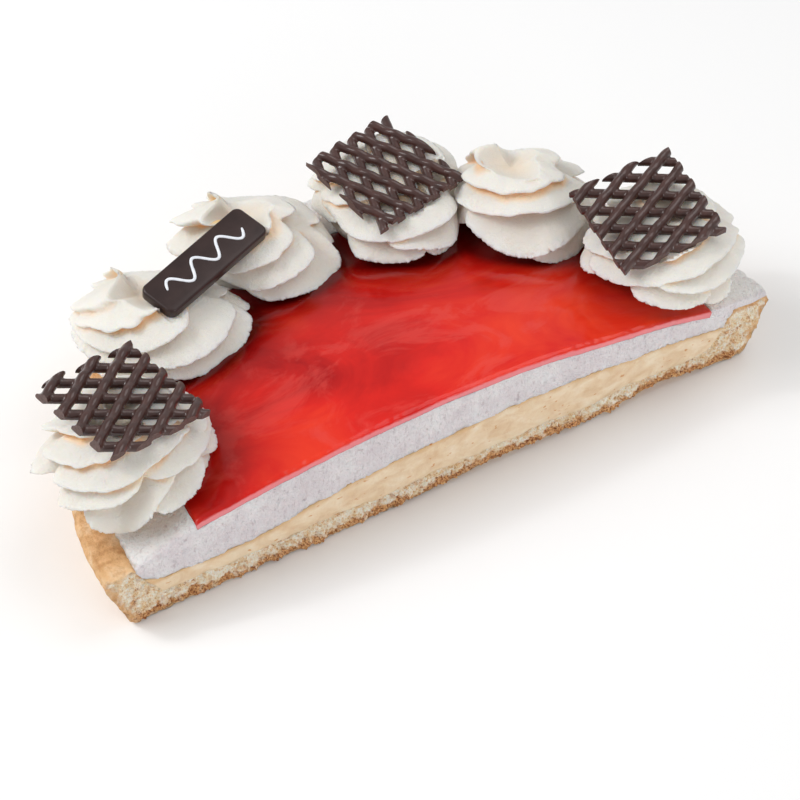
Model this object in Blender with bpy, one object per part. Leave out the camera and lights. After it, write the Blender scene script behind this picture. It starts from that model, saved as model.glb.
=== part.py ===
"""Half of a strawberry bavarois vlaai, cut straight across its middle.

A crust of yeast dough holds a layer of custard and a domed layer of bavarois under a red glaze.
Six piped cream rosettes stand along the round edge. Three chocolate lattices and a chocolate plaque
lie on them. Units are metres and +Z is up. The pieces are modelled about the centre of the whole
tart, which is the middle of the cut, and then moved so that the origin is under the middle of the part.
"""

import math
import random
from collections import namedtuple

import bmesh
import bpy
from mathutils import Matrix, Vector, noise
from mathutils.geometry import delaunay_2d_cdt

# Crust. A pair is the value at the left end of the cut and at its right end
RIM_RADIUS = 0.140
BASE_RADIUS = 0.1325
RIM_HEIGHT = 0.0265
RIM_INNER_RADIUS = (0.1280, 0.1228)
WALL_FOOT_RADIUS = (0.1258, 0.1187)
FLOOR_RADIUS = (0.1190, 0.1120)
FLOOR_HEIGHT = 0.0110

# Arches under the cut: middle, half width, height
ARCHES = ((0.020, 0.055, 0.0022), (0.092, 0.034, 0.0040))
CUT_DEPTH = 0.008

# Custard: highest right of the middle, and level near the crust
CUSTARD_HEIGHT = 0.0283
CUSTARD_LOW = 0.0178
CUSTARD_FALL = 0.90
CUSTARD_MIDDLE = 0.025
CUSTARD_EDGE_HEIGHT = (0.0212, 0.0203)

# Bavarois and glaze
GLAZE_RADIUS = (0.1050, 0.1118)
GLAZE_THICKNESS = 0.0034
GLAZE_BEVEL = 0.0022
DOME_HEIGHT = 0.0480
DOME_FALL = 1.08
DOME_TILT = 0.0145
MOUSSE_EDGE = 0.0016
MOUSSE_RADIUS = (0.1278, 0.1385)

# Pieces that touch stay this far apart
GAP = 0.0003

# Sampling of the round edge and of the cut
ARC_STEPS = 26
CUT_STEP = 0.0095
INNER_STEP = 0.030
INNER_REACH = 0.0990

# Cream rosettes from left to right. distance and bearing place the centre from the tart's centre.
# foot is the share of the radius at the bottom. The folds turn by twist on their way up, from the
# first fold's angle. lean moves the top sideways
Rosette = namedtuple("Rosette", "distance bearing radius foot height folds twist first lean")
ROSETTES = (
    Rosette(0.1192, 161.5, 0.0335, 0.74, 0.0320, 6, 265, 12, (0.000, 0.000)),
    Rosette(0.1150, 127.5, 0.0345, 0.86, 0.0285, 6, 260, 30, (-0.006, 0.005)),
    Rosette(0.1125, 100.7, 0.0360, 0.90, 0.0290, 6, 270, 5, (-0.006, 0.003)),
    Rosette(0.1085, 74.0, 0.0360, 0.82, 0.0290, 5, 320, 20, (0.000, 0.000)),
    Rosette(0.1090, 44.8, 0.0335, 0.90, 0.0310, 5, -260, 0, (-0.005, 0.005)),
    Rosette(0.1105, 14.8, 0.0340, 0.72, 0.0310, 5, 310, 25, (0.000, 0.000)),
)
ROSETTE_LEVELS = 15
FOLD_COLUMNS = (0.0, 0.28, 0.50, 0.68, 0.80)
FOLD_CREST = 0.80
FOLD_DROOP = 0.0042
FOLD_RAGGED = 0.0006
CROWN_RISE = 0.0050
CREAM_SINK = 0.0060
CREAM_PRESS = 0.0025

# Depth of the folds at the bottom, and what the top adds to it
FOLD_DEPTH = (0.24, 0.38)
CROWN_WIDTH = 0.30

# The tops of the rosettes fall away towards this bearing, in degrees
BACK_BEARING = 59
BACK_FALL = 0.0045

# Unevenness: height and wavelength
TOP_WAVE = (0.0008, 0.035)
CUSTARD_WAVE = (0.0008, 0.028)
FLOOR_WAVE = (0.0016, 0.022)
CUT_WAVE = (0.0011, 0.012)
KNIFE_WAVE = (0.0006, 0.050)

# Unevenness round the rim: waves, and their height at the rim, lip, wall and bavarois
RIM_WAVES = 3.2
RIM_UNEVEN = 0.0011
LIP_UNEVEN = 0.0010
WAIST_UNEVEN = 0.0012
MOUSSE_UNEVEN = 0.0007

# Angles between which the bavarois draws back from the rim's outside to its inside
SPREAD_START = 95
SPREAD_ANGLE = 60
SHOULDER_CURVE = 0.85

# The crust's edges: drop of the rim's inside, brow in and down, drop of the lip, waist, heel
INSIDE_DROP = 0.0007
BROW = (0.0018, 0.0006)
LIP_DROP = 0.0030
WAIST_HEIGHT = 0.0115
HEEL = 0.0015

# Relief of the cut: spacing of its points, depth and wavelength
CRUST_CUT = (0.0062, 0.0011, 0.0045)
CUSTARD_CUT = (0.0075, 0.0005, 0.0080)
BAVAROIS_CUT = (0.0070, 0.0006, 0.0050)
GLAZE_CUT = (0.0080, 0.0002, 0.0200)

# Chocolate lattices on rosettes. low and top are the layers of strands: angle in degrees and shift
Lattice = namedtuple("Lattice", "rosette centre normal turn low top")
LATTICES = (
    Lattice(1, (-0.1108, 0.0403, 0.0654), (0.187, 0.008, 0.982), -76, (56, 0.0020), (121, -0.0003)),
    Lattice(4, (0.0287, 0.1023, 0.0618), (0.000, -0.154, 0.988), -168, (64, 0.0001), (113, 0.0033)),
    Lattice(6, (0.1001, 0.0311, 0.0645), (-0.169, -0.134, 0.976), -95, (59, 0.0004), (118, 0.0006)),
)
LATTICE_SIDE = 0.0427
STRAND_WIDTH = 0.0038
STRAND_HEIGHT = 0.0027
STRAND_PITCH = 0.0080
STRAND_OVERLAP = 0.0009

# Chocolate plaque
PLAQUE_SIZE = (0.0530, 0.0160, 0.0042)
PLAQUE_CENTRE = (-0.0540, 0.0905, 0.0625)
PLAQUE_NORMAL = (0.010, -0.215, 0.976)
PLAQUE_TURN = 21.5
PLAQUE_CORNER = 0.0030
WAVE_LENGTH = 0.0400
WAVE_REACH = 0.0034
WAVE_CYCLES = 3
WAVE_STEPS = 6
WAVE_WIDTH = 0.0013
WAVE_HEIGHT = 0.0005


def smooth(t):
    """A step from 0 to 1 with level ends."""
    t = min(1.0, max(0.0, t))
    return t * t * (3 - 2 * t)


def side_value(pair, angle):
    """A value between the left end's and the right end's, by the angle round the tart."""
    left, right = pair
    return left + (right - left) * 0.5 * (1 + math.cos(angle))


def wobble(x, y, wavelength, seed):
    """A smooth random value from about -1 to 1."""
    return noise.noise(Vector((x / wavelength, y / wavelength, seed * 7.3)))


def dome(x, y):
    """Height of the glaze's top."""
    height, wavelength = TOP_WAVE
    waves = height * wobble(x, y, wavelength, 1)
    return DOME_HEIGHT - DOME_FALL * (x * x + y * y) - DOME_TILT * x + waves


def custard_top(x, y):
    """Height of the custard's top inside its edge."""
    fall = CUSTARD_FALL * ((x - CUSTARD_MIDDLE) ** 2 + y * y)
    swell = max(0.0, CUSTARD_HEIGHT - CUSTARD_LOW - fall)
    height, wavelength = CUSTARD_WAVE
    return CUSTARD_LOW + swell + height * wobble(x, y, wavelength, 2)


def floor_top(x, y):
    """Height of the crust's floor."""
    height, wavelength = FLOOR_WAVE
    return FLOOR_HEIGHT + height * wobble(x, y, wavelength, 3)


def underside(x, y):
    """Height of the crust's underside: flat, lifted a little along the ragged cut."""
    near_cut = 1 - smooth(y / CUT_DEPTH)
    ragged, wavelength = CUT_WAVE
    lift = ragged * max(0.0, wobble(x, 0, wavelength, 4) + 0.1)
    for middle, half_width, height in ARCHES:
        lift += height * (1 - smooth(abs(x - middle) / half_width))
    return near_cut * lift


def rim_wave(angle, seed):
    """Unevenness along the rim."""
    return noise.noise(Vector((RIM_WAVES * math.cos(angle), RIM_WAVES * math.sin(angle), seed)))


def rim_height(angle):
    return RIM_HEIGHT + RIM_UNEVEN * rim_wave(angle, 11.0)


def lip_radius(angle):
    return RIM_RADIUS + LIP_UNEVEN * rim_wave(angle, 13.0)


def glaze_radius(angle):
    return side_value(GLAZE_RADIUS, angle)


def mousse_radius(angle):
    """The bavarois spreads over the rim on the right and stops at its inside on the left."""
    left, right = MOUSSE_RADIUS
    spread = 1 - smooth((math.degrees(angle) - SPREAD_START) / SPREAD_ANGLE)
    return left + (right - left) * spread + MOUSSE_UNEVEN * rim_wave(angle, 12.0)


def shoulder(radius, angle):
    """Height of the bavarois between the glaze and the rim."""
    edge = rim_height(angle) + MOUSSE_EDGE
    inner = glaze_radius(angle)
    start = dome(inner * math.cos(angle), inner * math.sin(angle))
    t = (radius - inner) / (mousse_radius(angle) - inner)
    return start + (edge - start) * min(1.0, max(0.0, t)) ** SHOULDER_CURVE


def top_surface(x, y):
    """Height of what the cream is piped on."""
    radius = math.hypot(x, y)
    angle = math.atan2(max(y, 0.0), x)
    if radius <= glaze_radius(angle):
        return dome(x, y)
    return shoulder(radius, angle)


def arc_angles():
    return [math.pi * i / ARC_STEPS for i in range(ARC_STEPS + 1)]


def ring(radius_of, height_of):
    """Points along a half circle, from the right end of the cut to the left."""
    points = []
    for angle in arc_angles():
        radius = radius_of(angle)
        x, y = radius * math.cos(angle), radius * math.sin(angle)
        if y < 1e-7:
            y = 0.0
        points.append(Vector((x, y, height_of(x, y, angle))))
    return points


def cut_line(height_of):
    """Points along the cut, inside the innermost ring."""
    count = round(2 * INNER_REACH / CUT_STEP)
    xs = [INNER_REACH * (2 * i / count - 1) for i in range(count + 1)]
    return [Vector((x, 0.0, height_of(x, 0.0))) for x in xs]


def inner_points(height_of):
    """Sparse points inside the innermost ring, on staggered half rings."""
    points = []
    count = round(INNER_REACH / INNER_STEP)
    for i in range(1, count + 1):
        radius = INNER_REACH * (i - 0.3) / count
        steps = max(2, round(math.pi * radius / INNER_STEP))
        for j in range(steps):
            angle = math.pi * (j + 0.5) / steps
            x, y = radius * math.cos(angle), radius * math.sin(angle)
            points.append(Vector((x, y, height_of(x, y))))
    return points


def add_sheet(bm, rings, height_of):
    """A half disc seen from above: rings from the inside out, and height_of inside the first one."""
    points = cut_line(height_of) + inner_points(height_of)
    edges = []
    for points_of_ring in rings:
        first = len(points)
        points += points_of_ring
        edges += [(first + i, first + i + 1) for i in range(ARC_STEPS)]
    on_cut = sorted((i for i, p in enumerate(points) if p.y == 0.0), key=lambda i: points[i].x)
    edges += list(zip(on_cut, on_cut[1:]))
    flat = [Vector((p.x, p.y)) for p in points]
    made, _, faces, sources, _, _ = delaunay_2d_cdt(flat, edges, [], 1, 1e-7)
    verts = [bm.verts.new((p.x, p.y, points[s[0]].z)) for p, s in zip(made, sources)]
    for face in faces:
        bm.faces.new([verts[i] for i in face])


def add_strip(bm, low, high):
    """A wall between two rings of the same number of points."""
    lower = [bm.verts.new(p) for p in low]
    upper = [bm.verts.new(p) for p in high]
    for i in range(len(low) - 1):
        bm.faces.new((lower[i], lower[i + 1], upper[i + 1], upper[i]))


def weld(bm):
    bmesh.ops.remove_doubles(bm, verts=bm.verts, dist=1e-6)


def close_cut(bm, spacing, seed):
    """Fills the open side in the plane of the cut, with points inside it for its relief."""
    border = [e for e in bm.edges if e.is_boundary]
    verts = list({v for e in border for v in e.verts})
    index = {v: i for i, v in enumerate(verts)}
    flat = [Vector((v.co.x, v.co.z)) for v in verts]
    edges = [(index[e.verts[0]], index[e.verts[1]]) for e in border]
    rng = random.Random(seed)
    low = Vector((min(p.x for p in flat), min(p.y for p in flat)))
    high = Vector((max(p.x for p in flat), max(p.y for p in flat)))
    inside = []
    columns, rows = int((high.x - low.x) / spacing), int((high.y - low.y) / spacing)
    for column in range(columns):
        for row in range(rows):
            shift = Vector((rng.uniform(0.2, 0.8), rng.uniform(0.2, 0.8)))
            point = low + spacing * (Vector((column, row)) + shift)
            if min((point - p).length for p in flat) > 0.55 * spacing:
                inside.append(point)
    made, _, faces, sources, _, _ = delaunay_2d_cdt(flat + inside, edges, [], 1, 1e-7)
    placed = []
    for point, source in zip(made, sources):
        if source[0] < len(verts):
            placed.append(verts[source[0]])
        else:
            placed.append(bm.verts.new((point.x, 0.0, point.y)))
    for face in faces:
        bm.faces.new([placed[i] for i in face])
    loose = [v for v in bm.verts if not v.link_faces]
    bmesh.ops.delete(bm, geom=loose, context="VERTS")


def finish_cut(bm, relief, seed):
    """Closes the cut and pushes its points in and out, as a knife leaves them."""
    spacing, depth, grain = relief
    close_cut(bm, spacing, seed)
    height, wavelength = KNIFE_WAVE
    for v in bm.verts:
        if v.co.y == 0.0:
            knife = height * wobble(v.co.x, 0, wavelength, 5)
            v.co.y = knife + depth * wobble(v.co.x, v.co.z, grain, seed + 1)


def material(name, colour, roughness, metallic=0.0):
    made = bpy.data.materials.new(name)
    made.use_nodes = True
    shader = made.node_tree.nodes["Principled BSDF"]
    shader.inputs["Base Color"].default_value = (*colour, 1.0)
    shader.inputs["Roughness"].default_value = roughness
    shader.inputs["Metallic"].default_value = metallic
    return made


def finish_mesh(bm, name, look, smooth_angle=40.0):
    """Turns the bmesh into a named object with its faces pointing out."""
    weld(bm)
    bmesh.ops.recalc_face_normals(bm, faces=bm.faces)
    bmesh.ops.triangulate(bm, faces=bm.faces)
    mesh = bpy.data.meshes.new(name)
    bm.to_mesh(mesh)
    bm.free()
    mesh.materials.append(look)
    mesh.shade_smooth()
    mesh.set_sharp_from_angle(angle=math.radians(smooth_angle))
    made = bpy.data.objects.new(name, mesh)
    bpy.context.scene.collection.objects.link(made)
    return made


def raised(height_of, by):
    return lambda x, y: height_of(x, y) + by


def crust(look):
    """The dough: a floor, a slanted outer wall and a broad uneven rim."""
    bm = bmesh.new()
    brow_in, brow_drop = BROW
    floor_edge = ring(lambda a: side_value(FLOOR_RADIUS, a), lambda x, y, a: floor_top(x, y))
    foot = ring(
        lambda a: side_value(WALL_FOOT_RADIUS, a),
        lambda x, y, a: side_value(CUSTARD_EDGE_HEIGHT, a),
    )
    inner = ring(
        lambda a: side_value(RIM_INNER_RADIUS, a),
        lambda x, y, a: rim_height(a) - INSIDE_DROP,
    )
    crown = ring(
        lambda a: 0.5 * (side_value(RIM_INNER_RADIUS, a) + RIM_RADIUS),
        lambda x, y, a: rim_height(a),
    )
    brow = ring(lambda a: lip_radius(a) - brow_in, lambda x, y, a: rim_height(a) - brow_drop)
    lip = ring(lip_radius, lambda x, y, a: rim_height(a) - LIP_DROP)
    waist = ring(
        lambda a: 0.5 * (RIM_RADIUS + BASE_RADIUS) + WAIST_UNEVEN * rim_wave(a, 14.0),
        lambda x, y, a: WAIST_HEIGHT,
    )
    heel = ring(lambda a: BASE_RADIUS, lambda x, y, a: HEEL)
    sole = ring(lambda a: BASE_RADIUS - HEEL, lambda x, y, a: underside(x, y))
    add_sheet(bm, [floor_edge, foot, inner, crown, brow, lip], floor_top)
    add_strip(bm, waist, lip)
    add_strip(bm, heel, waist)
    add_strip(bm, sole, heel)
    add_sheet(bm, [sole], underside)
    weld(bm)
    finish_cut(bm, CRUST_CUT, 21)
    return finish_mesh(bm, "crust", look)


def custard(look):
    """The baked custard on the crust's floor."""
    bm = bmesh.new()
    low = ring(
        lambda a: side_value(FLOOR_RADIUS, a) - 2 * GAP,
        lambda x, y, a: floor_top(x, y) + 1.5 * GAP,
    )
    high = ring(
        lambda a: side_value(WALL_FOOT_RADIUS, a) - 2 * GAP,
        lambda x, y, a: side_value(CUSTARD_EDGE_HEIGHT, a),
    )
    add_sheet(bm, [low], raised(floor_top, GAP))
    add_strip(bm, low, high)
    add_sheet(bm, [high], custard_top)
    weld(bm)
    finish_cut(bm, CUSTARD_CUT, 31)
    return finish_mesh(bm, "custard", look)


def glaze_brink(lift):
    """The bavarois just outside the glaze."""
    return ring(
        lambda a: glaze_radius(a) + 2 * GAP,
        lambda x, y, a: shoulder(math.hypot(x, y), a) + lift,
    )


def shoulder_middle(lift):
    """The bavarois between the glaze and its own edge."""
    return ring(
        lambda a: 0.45 * glaze_radius(a) + 0.55 * mousse_radius(a),
        lambda x, y, a: shoulder(math.hypot(x, y), a) + lift,
    )


def bavarois(look):
    """The bavarois: over the custard and the rim's inside, with a bed for the glaze."""
    bm = bmesh.new()
    bed = raised(dome, -GLAZE_THICKNESS - GAP)
    over_custard = raised(custard_top, GAP)
    low = ring(
        lambda a: side_value(WALL_FOOT_RADIUS, a) - 2 * GAP,
        lambda x, y, a: side_value(CUSTARD_EDGE_HEIGHT, a) + GAP,
    )
    climb = ring(
        lambda a: side_value(RIM_INNER_RADIUS, a) - 3 * GAP,
        lambda x, y, a: rim_height(a) - INSIDE_DROP + GAP,
    )
    edge_low = ring(mousse_radius, lambda x, y, a: rim_height(a) + 1.5 * GAP)
    edge_high = ring(mousse_radius, lambda x, y, a: rim_height(a) + MOUSSE_EDGE)
    bed_edge = ring(lambda a: glaze_radius(a) - GLAZE_BEVEL, lambda x, y, a: bed(x, y))
    brink = glaze_brink(-0.0002)
    middle = shoulder_middle(0.0)
    add_sheet(bm, [low, climb, edge_low], over_custard)
    add_strip(bm, edge_low, edge_high)
    add_sheet(bm, [bed_edge, brink, middle, edge_high], bed)
    weld(bm)
    finish_cut(bm, BAVAROIS_CUT, 41)
    return finish_mesh(bm, "bavarois", look)


def glaze(look):
    """The set red glaze in its bed, thinning towards its round edge."""
    bm = bmesh.new()
    under = raised(dome, -GLAZE_THICKNESS)
    low = ring(lambda a: glaze_radius(a) - GLAZE_BEVEL - 2 * GAP, lambda x, y, a: under(x, y))
    high = ring(glaze_radius, lambda x, y, a: dome(x, y) - 0.0004)
    brow = ring(lambda a: glaze_radius(a) - 0.0020, lambda x, y, a: dome(x, y))
    add_sheet(bm, [low], under)
    add_strip(bm, low, high)
    add_sheet(bm, [brow, high], dome)
    weld(bm)
    finish_cut(bm, GLAZE_CUT, 51)
    return finish_mesh(bm, "glaze", look)


def rosette_centre(shape):
    angle = math.radians(shape.bearing)
    return Vector((shape.distance * math.cos(angle), shape.distance * math.sin(angle)))


def neighbour_walls(index):
    """Direction and distance of the planes halfway to the rosettes on each side."""
    here = rosette_centre(ROSETTES[index])
    walls = []
    for other in (index - 1, index + 1):
        if 0 <= other < len(ROSETTES):
            away = rosette_centre(ROSETTES[other]) - here
            walls.append((away.normalized(), 0.5 * away.length - 0.5 * GAP))
    return walls


def pressed_radius(radius, direction, walls):
    """A radius, flattened smoothly where a neighbour presses on the cream."""
    for normal, distance in walls:
        facing = direction.dot(normal)
        if facing > 0.05:
            limit = distance / facing
            soft = math.exp(-radius / CREAM_PRESS) + math.exp(-limit / CREAM_PRESS)
            radius = -CREAM_PRESS * math.log(soft)
    return radius


def envelope(u, foot):
    """Share of the full radius at the share u of the height: a full dome, pinched at its foot."""
    full = max(0.0, 1 - u**3.4) ** 0.7
    pinch = 1 - (1 - foot) * (1 - min(1.0, u / 0.4)) ** 2
    return max(CROWN_WIDTH, full * pinch)


def fold_profile(t):
    """How far a fold reaches at the share t of its width: hollow above, sharp edge, short underside."""
    if t <= FOLD_CREST:
        return (t / FOLD_CREST) ** 1.6
    return (1 - t) / (1 - FOLD_CREST)


def rosette(index, look):
    """Twisted star of cream: its folds droop over each other and end in a crown of tips."""
    shape = ROSETTES[index]
    centre = rosette_centre(shape)
    walls = neighbour_walls(index)
    rng = random.Random(100 + index)
    size = [rng.uniform(0.90, 1.0) for _ in range(shape.folds)]
    tip = [rng.uniform(0.1, 1.0) for _ in range(shape.folds)]
    turn = 1 if shape.twist > 0 else -1
    base = top_surface(centre.x, centre.y)
    back = Vector((math.cos(math.radians(BACK_BEARING)), math.sin(math.radians(BACK_BEARING))))
    columns = [(fold, t) for fold in range(shape.folds) for t in FOLD_COLUMNS]
    bm = bmesh.new()
    rows = []
    for level in range(ROSETTE_LEVELS + 1):
        u = level / ROSETTE_LEVELS
        row = []
        for fold, t in columns:
            crest = fold_profile(t)
            angle = turn * 2 * math.pi * (fold + t) / shape.folds
            angle += math.radians(shape.first + shape.twist * u**0.9)
            direction = Vector((math.cos(angle), math.sin(angle)))
            depth = FOLD_DEPTH[0] + FOLD_DEPTH[1] * u * u
            ragged = FOLD_RAGGED * rng.uniform(-1, 1) * crest
            reach = shape.radius * envelope(u, shape.foot) * (1 - depth * (1 - crest))
            reach *= 1 - crest * (1 - size[fold])
            reach = pressed_radius(reach + ragged, direction, walls)
            spot = centre + direction * reach + Vector(shape.lean) * u * u
            under = (1 - u) ** 2
            ground = under * top_surface(spot.x, spot.y) + (1 - under) * base
            droop = FOLD_DROOP * crest * (1 - u) ** 0.5
            rise = CROWN_RISE * tip[fold] * crest * u**4
            fall = BACK_FALL * u * u * max(0.0, direction.dot(back))
            z = ground + shape.height * u - droop + rise - fall
            if level == 0:
                z = ground - CREAM_SINK
            row.append(bm.verts.new((spot.x, spot.y, z)))
        rows.append(row)
    count = len(columns)
    for low, high in zip(rows, rows[1:]):
        for i in range(count):
            j = (i + 1) % count
            bm.faces.new((low[i], low[j], high[j], high[i]))
    bottom = sum((v.co for v in rows[0]), Vector()) / count
    summit = sum((v.co for v in rows[-1]), Vector()) / count
    for row, middle in ((rows[0], bottom), (rows[-1], summit)):
        hub = bm.verts.new(middle)
        for i in range(count):
            bm.faces.new((row[i], row[(i + 1) % count], hub))
    return finish_mesh(bm, f"rosette_{index + 1}", look, 60.0)


def guide(obj):
    """A cutter: not a piece of the object."""
    obj.hide_render = True
    obj.display_type = "WIRE"
    return obj


def cut_with(piece, cutter):
    modifier = piece.modifiers.new("cut by " + cutter.name, "BOOLEAN")
    modifier.operation = "DIFFERENCE"
    modifier.solver = "EXACT"
    modifier.object = cutter


def ground_cutter(look):
    """Everything below the surface that the cream is piped on, a gap higher."""
    bm = bmesh.new()
    lift = 1.3 * GAP
    above = raised(dome, lift)
    edge = ring(glaze_radius, lambda x, y, a: dome(x, y) + lift)
    brink = glaze_brink(lift)
    middle = shoulder_middle(lift)
    outer = ring(mousse_radius, lambda x, y, a: rim_height(a) + MOUSSE_EDGE + lift)
    beyond = ring(lambda a: RIM_RADIUS + 0.030, lambda x, y, a: rim_height(a) + MOUSSE_EDGE + lift)
    low = ring(lambda a: RIM_RADIUS + 0.030, lambda x, y, a: 0.005)
    add_sheet(bm, [edge, brink, middle, outer, beyond], above)
    add_strip(bm, low, beyond)
    add_sheet(bm, [low], lambda x, y: 0.005)
    weld(bm)
    close_cut(bm, 0.5, 61)
    for v in bm.verts:
        if v.co.y == 0.0:
            v.co.y = -0.010
    return guide(finish_mesh(bm, "ground_cutter", look))


def plate_matrix(centre, normal, turn):
    """Placement of a flat piece: its local Z along normal, then turned about it."""
    up = Vector(normal).normalized()
    tilt = Vector((0, 0, 1)).rotation_difference(up).to_matrix().to_4x4()
    return Matrix.Translation(centre) @ tilt @ Matrix.Rotation(math.radians(turn), 4, "Z")


def slab_cutter(name, place, width, depth, under, look):
    """The space of a flat piece and all above it, which soft cream leaves free."""
    bm = bmesh.new()
    tall = 0.040
    size = Matrix.Diagonal((width + 2 * GAP, depth + 2 * GAP, tall, 1))
    shift = Matrix.Translation((0, 0, 0.5 * tall - under - GAP))
    bmesh.ops.create_cube(bm, size=1.0, matrix=place @ shift @ size)
    return guide(finish_mesh(bm, name, look))


def add_strand(bm, start, end, base):
    """A straight strand with a flat foot and a rounded back."""
    along = (end - start).normalized()
    side = Vector((-along.y, along.x, 0.0))
    half = 0.5 * STRAND_WIDTH
    outline = ((-half, 0.0), (-0.8 * half, 0.65), (0.0, 1.0), (0.8 * half, 0.65), (half, 0.0))
    ends = []
    for point in (start, end):
        up = [point + side * w + Vector((0, 0, base + h * STRAND_HEIGHT)) for w, h in outline]
        ends.append([bm.verts.new(p) for p in up])
    near, far = ends
    for i in range(len(outline)):
        j = (i + 1) % len(outline)
        bm.faces.new((near[i], near[j], far[j], far[i]))
    bm.faces.new(near)
    bm.faces.new(reversed(far))
    return near + far


def strand_lines(degrees, shift):
    """Start and end of the strands of one layer that cross the square."""
    angle = math.radians(degrees)
    along = Vector((math.cos(angle), math.sin(angle), 0.0))
    side = Vector((-along.y, along.x, 0.0))
    half = 0.5 * LATTICE_SIDE
    reach = half * (abs(side.x) + abs(side.y))
    count = math.ceil(reach / STRAND_PITCH)
    offsets = [shift + i * STRAND_PITCH for i in range(-count, count + 1)]
    middles = [side * offset for offset in offsets if abs(offset) < reach - 0.5 * STRAND_WIDTH]
    return [(m - along * LATTICE_SIDE, m + along * LATTICE_SIDE) for m in middles]


def lattice(name, shape, place, look):
    """Two layers of strands that cross, trimmed to a square."""
    group = bpy.data.collections.new(name + "_strands")
    bpy.context.scene.collection.children.link(group)
    made = []
    for layer, (degrees, shift) in enumerate((shape.low, shape.top)):
        base = layer * (STRAND_HEIGHT - STRAND_OVERLAP) - STRAND_HEIGHT + 0.5 * STRAND_OVERLAP
        for start, end in strand_lines(degrees, shift):
            bm = bmesh.new()
            add_strand(bm, start, end, base)
            strand = finish_mesh(bm, name + "_strand", look)
            bpy.context.scene.collection.objects.unlink(strand)
            group.objects.link(strand)
            made.append(strand)
    bm = bmesh.new()
    tall = Matrix.Diagonal((LATTICE_SIDE, LATTICE_SIDE, 0.020, 1))
    bmesh.ops.create_cube(bm, size=1.0, matrix=tall)
    trim = finish_mesh(bm, name + "_trim", look)
    piece = made.pop()
    group.objects.unlink(piece)
    bpy.context.scene.collection.objects.link(piece)
    piece.name = name
    join = piece.modifiers.new("join", "BOOLEAN")
    join.operation = "UNION"
    join.solver = "EXACT"
    join.operand_type = "COLLECTION"
    join.collection = group
    square = piece.modifiers.new("square", "BOOLEAN")
    square.operation = "INTERSECT"
    square.solver = "EXACT"
    square.object = trim
    bpy.context.view_layer.update()
    shape = bpy.data.meshes.new_from_object(piece.evaluated_get(bpy.context.evaluated_depsgraph_get()))
    piece.modifiers.clear()
    piece.data = shape
    piece.data.name = name
    for used in made + [trim]:
        bpy.data.objects.remove(used)
    bpy.data.collections.remove(group)
    piece.matrix_world = place
    return piece


def rounded_slab(bm, size, corner):
    """A flat bar with rounded upright corners and bevelled faces."""
    width, depth, height = size
    box = Matrix.Diagonal((width, depth, height, 1))
    bmesh.ops.create_cube(bm, size=1.0, matrix=box)
    upright = [e for e in bm.edges if abs(e.verts[0].co.z - e.verts[1].co.z) > 0.5 * height]
    bmesh.ops.bevel(bm, geom=upright, offset=corner, segments=3, profile=0.5, affect="EDGES")
    top = [e for e in bm.edges if min(v.co.z for v in e.verts) > 0.49 * height]
    bmesh.ops.bevel(bm, geom=top, offset=0.0010, segments=2, profile=0.5, affect="EDGES")


def add_wave(bm, top):
    """A piped wavy line, standing just proud of the plaque."""
    steps = WAVE_STEPS * WAVE_CYCLES
    left, right = [], []
    for i in range(steps + 1):
        phase = 2 * math.pi * WAVE_CYCLES * i / steps
        x = WAVE_LENGTH * (i / steps - 0.5)
        y = WAVE_REACH * math.sin(phase)
        slope = WAVE_REACH * math.cos(phase) * 2 * math.pi * WAVE_CYCLES / WAVE_LENGTH
        normal = Vector((-slope, 1.0, 0.0)).normalized() * 0.5 * WAVE_WIDTH
        left.append(Vector((x, y, 0.0)) + normal)
        right.append(Vector((x, y, 0.0)) - normal)
    rails = []
    for z in (top - 0.0008, top + WAVE_HEIGHT):
        for side in (left, right):
            rails.append([bm.verts.new((p.x, p.y, z)) for p in side])
    low_left, low_right, high_left, high_right = rails
    for i in range(steps):
        bm.faces.new((high_left[i], high_left[i + 1], high_right[i + 1], high_right[i]))
        bm.faces.new((low_left[i + 1], low_left[i], low_right[i], low_right[i + 1]))
        bm.faces.new((low_left[i], low_left[i + 1], high_left[i + 1], high_left[i]))
        bm.faces.new((low_right[i + 1], low_right[i], high_right[i], high_right[i + 1]))
    for i in (0, steps):
        bm.faces.new((low_left[i], high_left[i], high_right[i], low_right[i]))


def plaque(place, look):
    """A chocolate bar with a plain wavy line on it."""
    bm = bmesh.new()
    rounded_slab(bm, PLAQUE_SIZE, PLAQUE_CORNER)
    bar = finish_mesh(bm, "plaque", look)
    bm = bmesh.new()
    add_wave(bm, 0.5 * PLAQUE_SIZE[2])
    wave = finish_mesh(bm, "plaque_wave", look)
    join = bar.modifiers.new("join", "BOOLEAN")
    join.operation = "UNION"
    join.solver = "EXACT"
    join.object = wave
    bpy.context.view_layer.update()
    shape = bpy.data.meshes.new_from_object(bar.evaluated_get(bpy.context.evaluated_depsgraph_get()))
    bar.modifiers.clear()
    bar.data = shape
    bpy.data.objects.remove(wave)
    bar.matrix_world = place
    return bar


def stand_on_origin(pieces):
    """Parents the pieces to an empty that puts the origin under the middle of their box."""
    bpy.context.view_layer.update()
    depsgraph = bpy.context.evaluated_depsgraph_get()
    corners = []
    for piece in pieces:
        shown = piece.evaluated_get(depsgraph)
        corners += [shown.matrix_world @ v.co for v in shown.data.vertices]
    low = Vector([min(c[i] for c in corners) for i in range(3)])
    high = Vector([max(c[i] for c in corners) for i in range(3)])
    holder = bpy.data.objects.new("tart", None)
    bpy.context.scene.collection.objects.link(holder)
    holder.location = (-0.5 * (low.x + high.x), -0.5 * (low.y + high.y), -low.z)
    return holder


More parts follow.
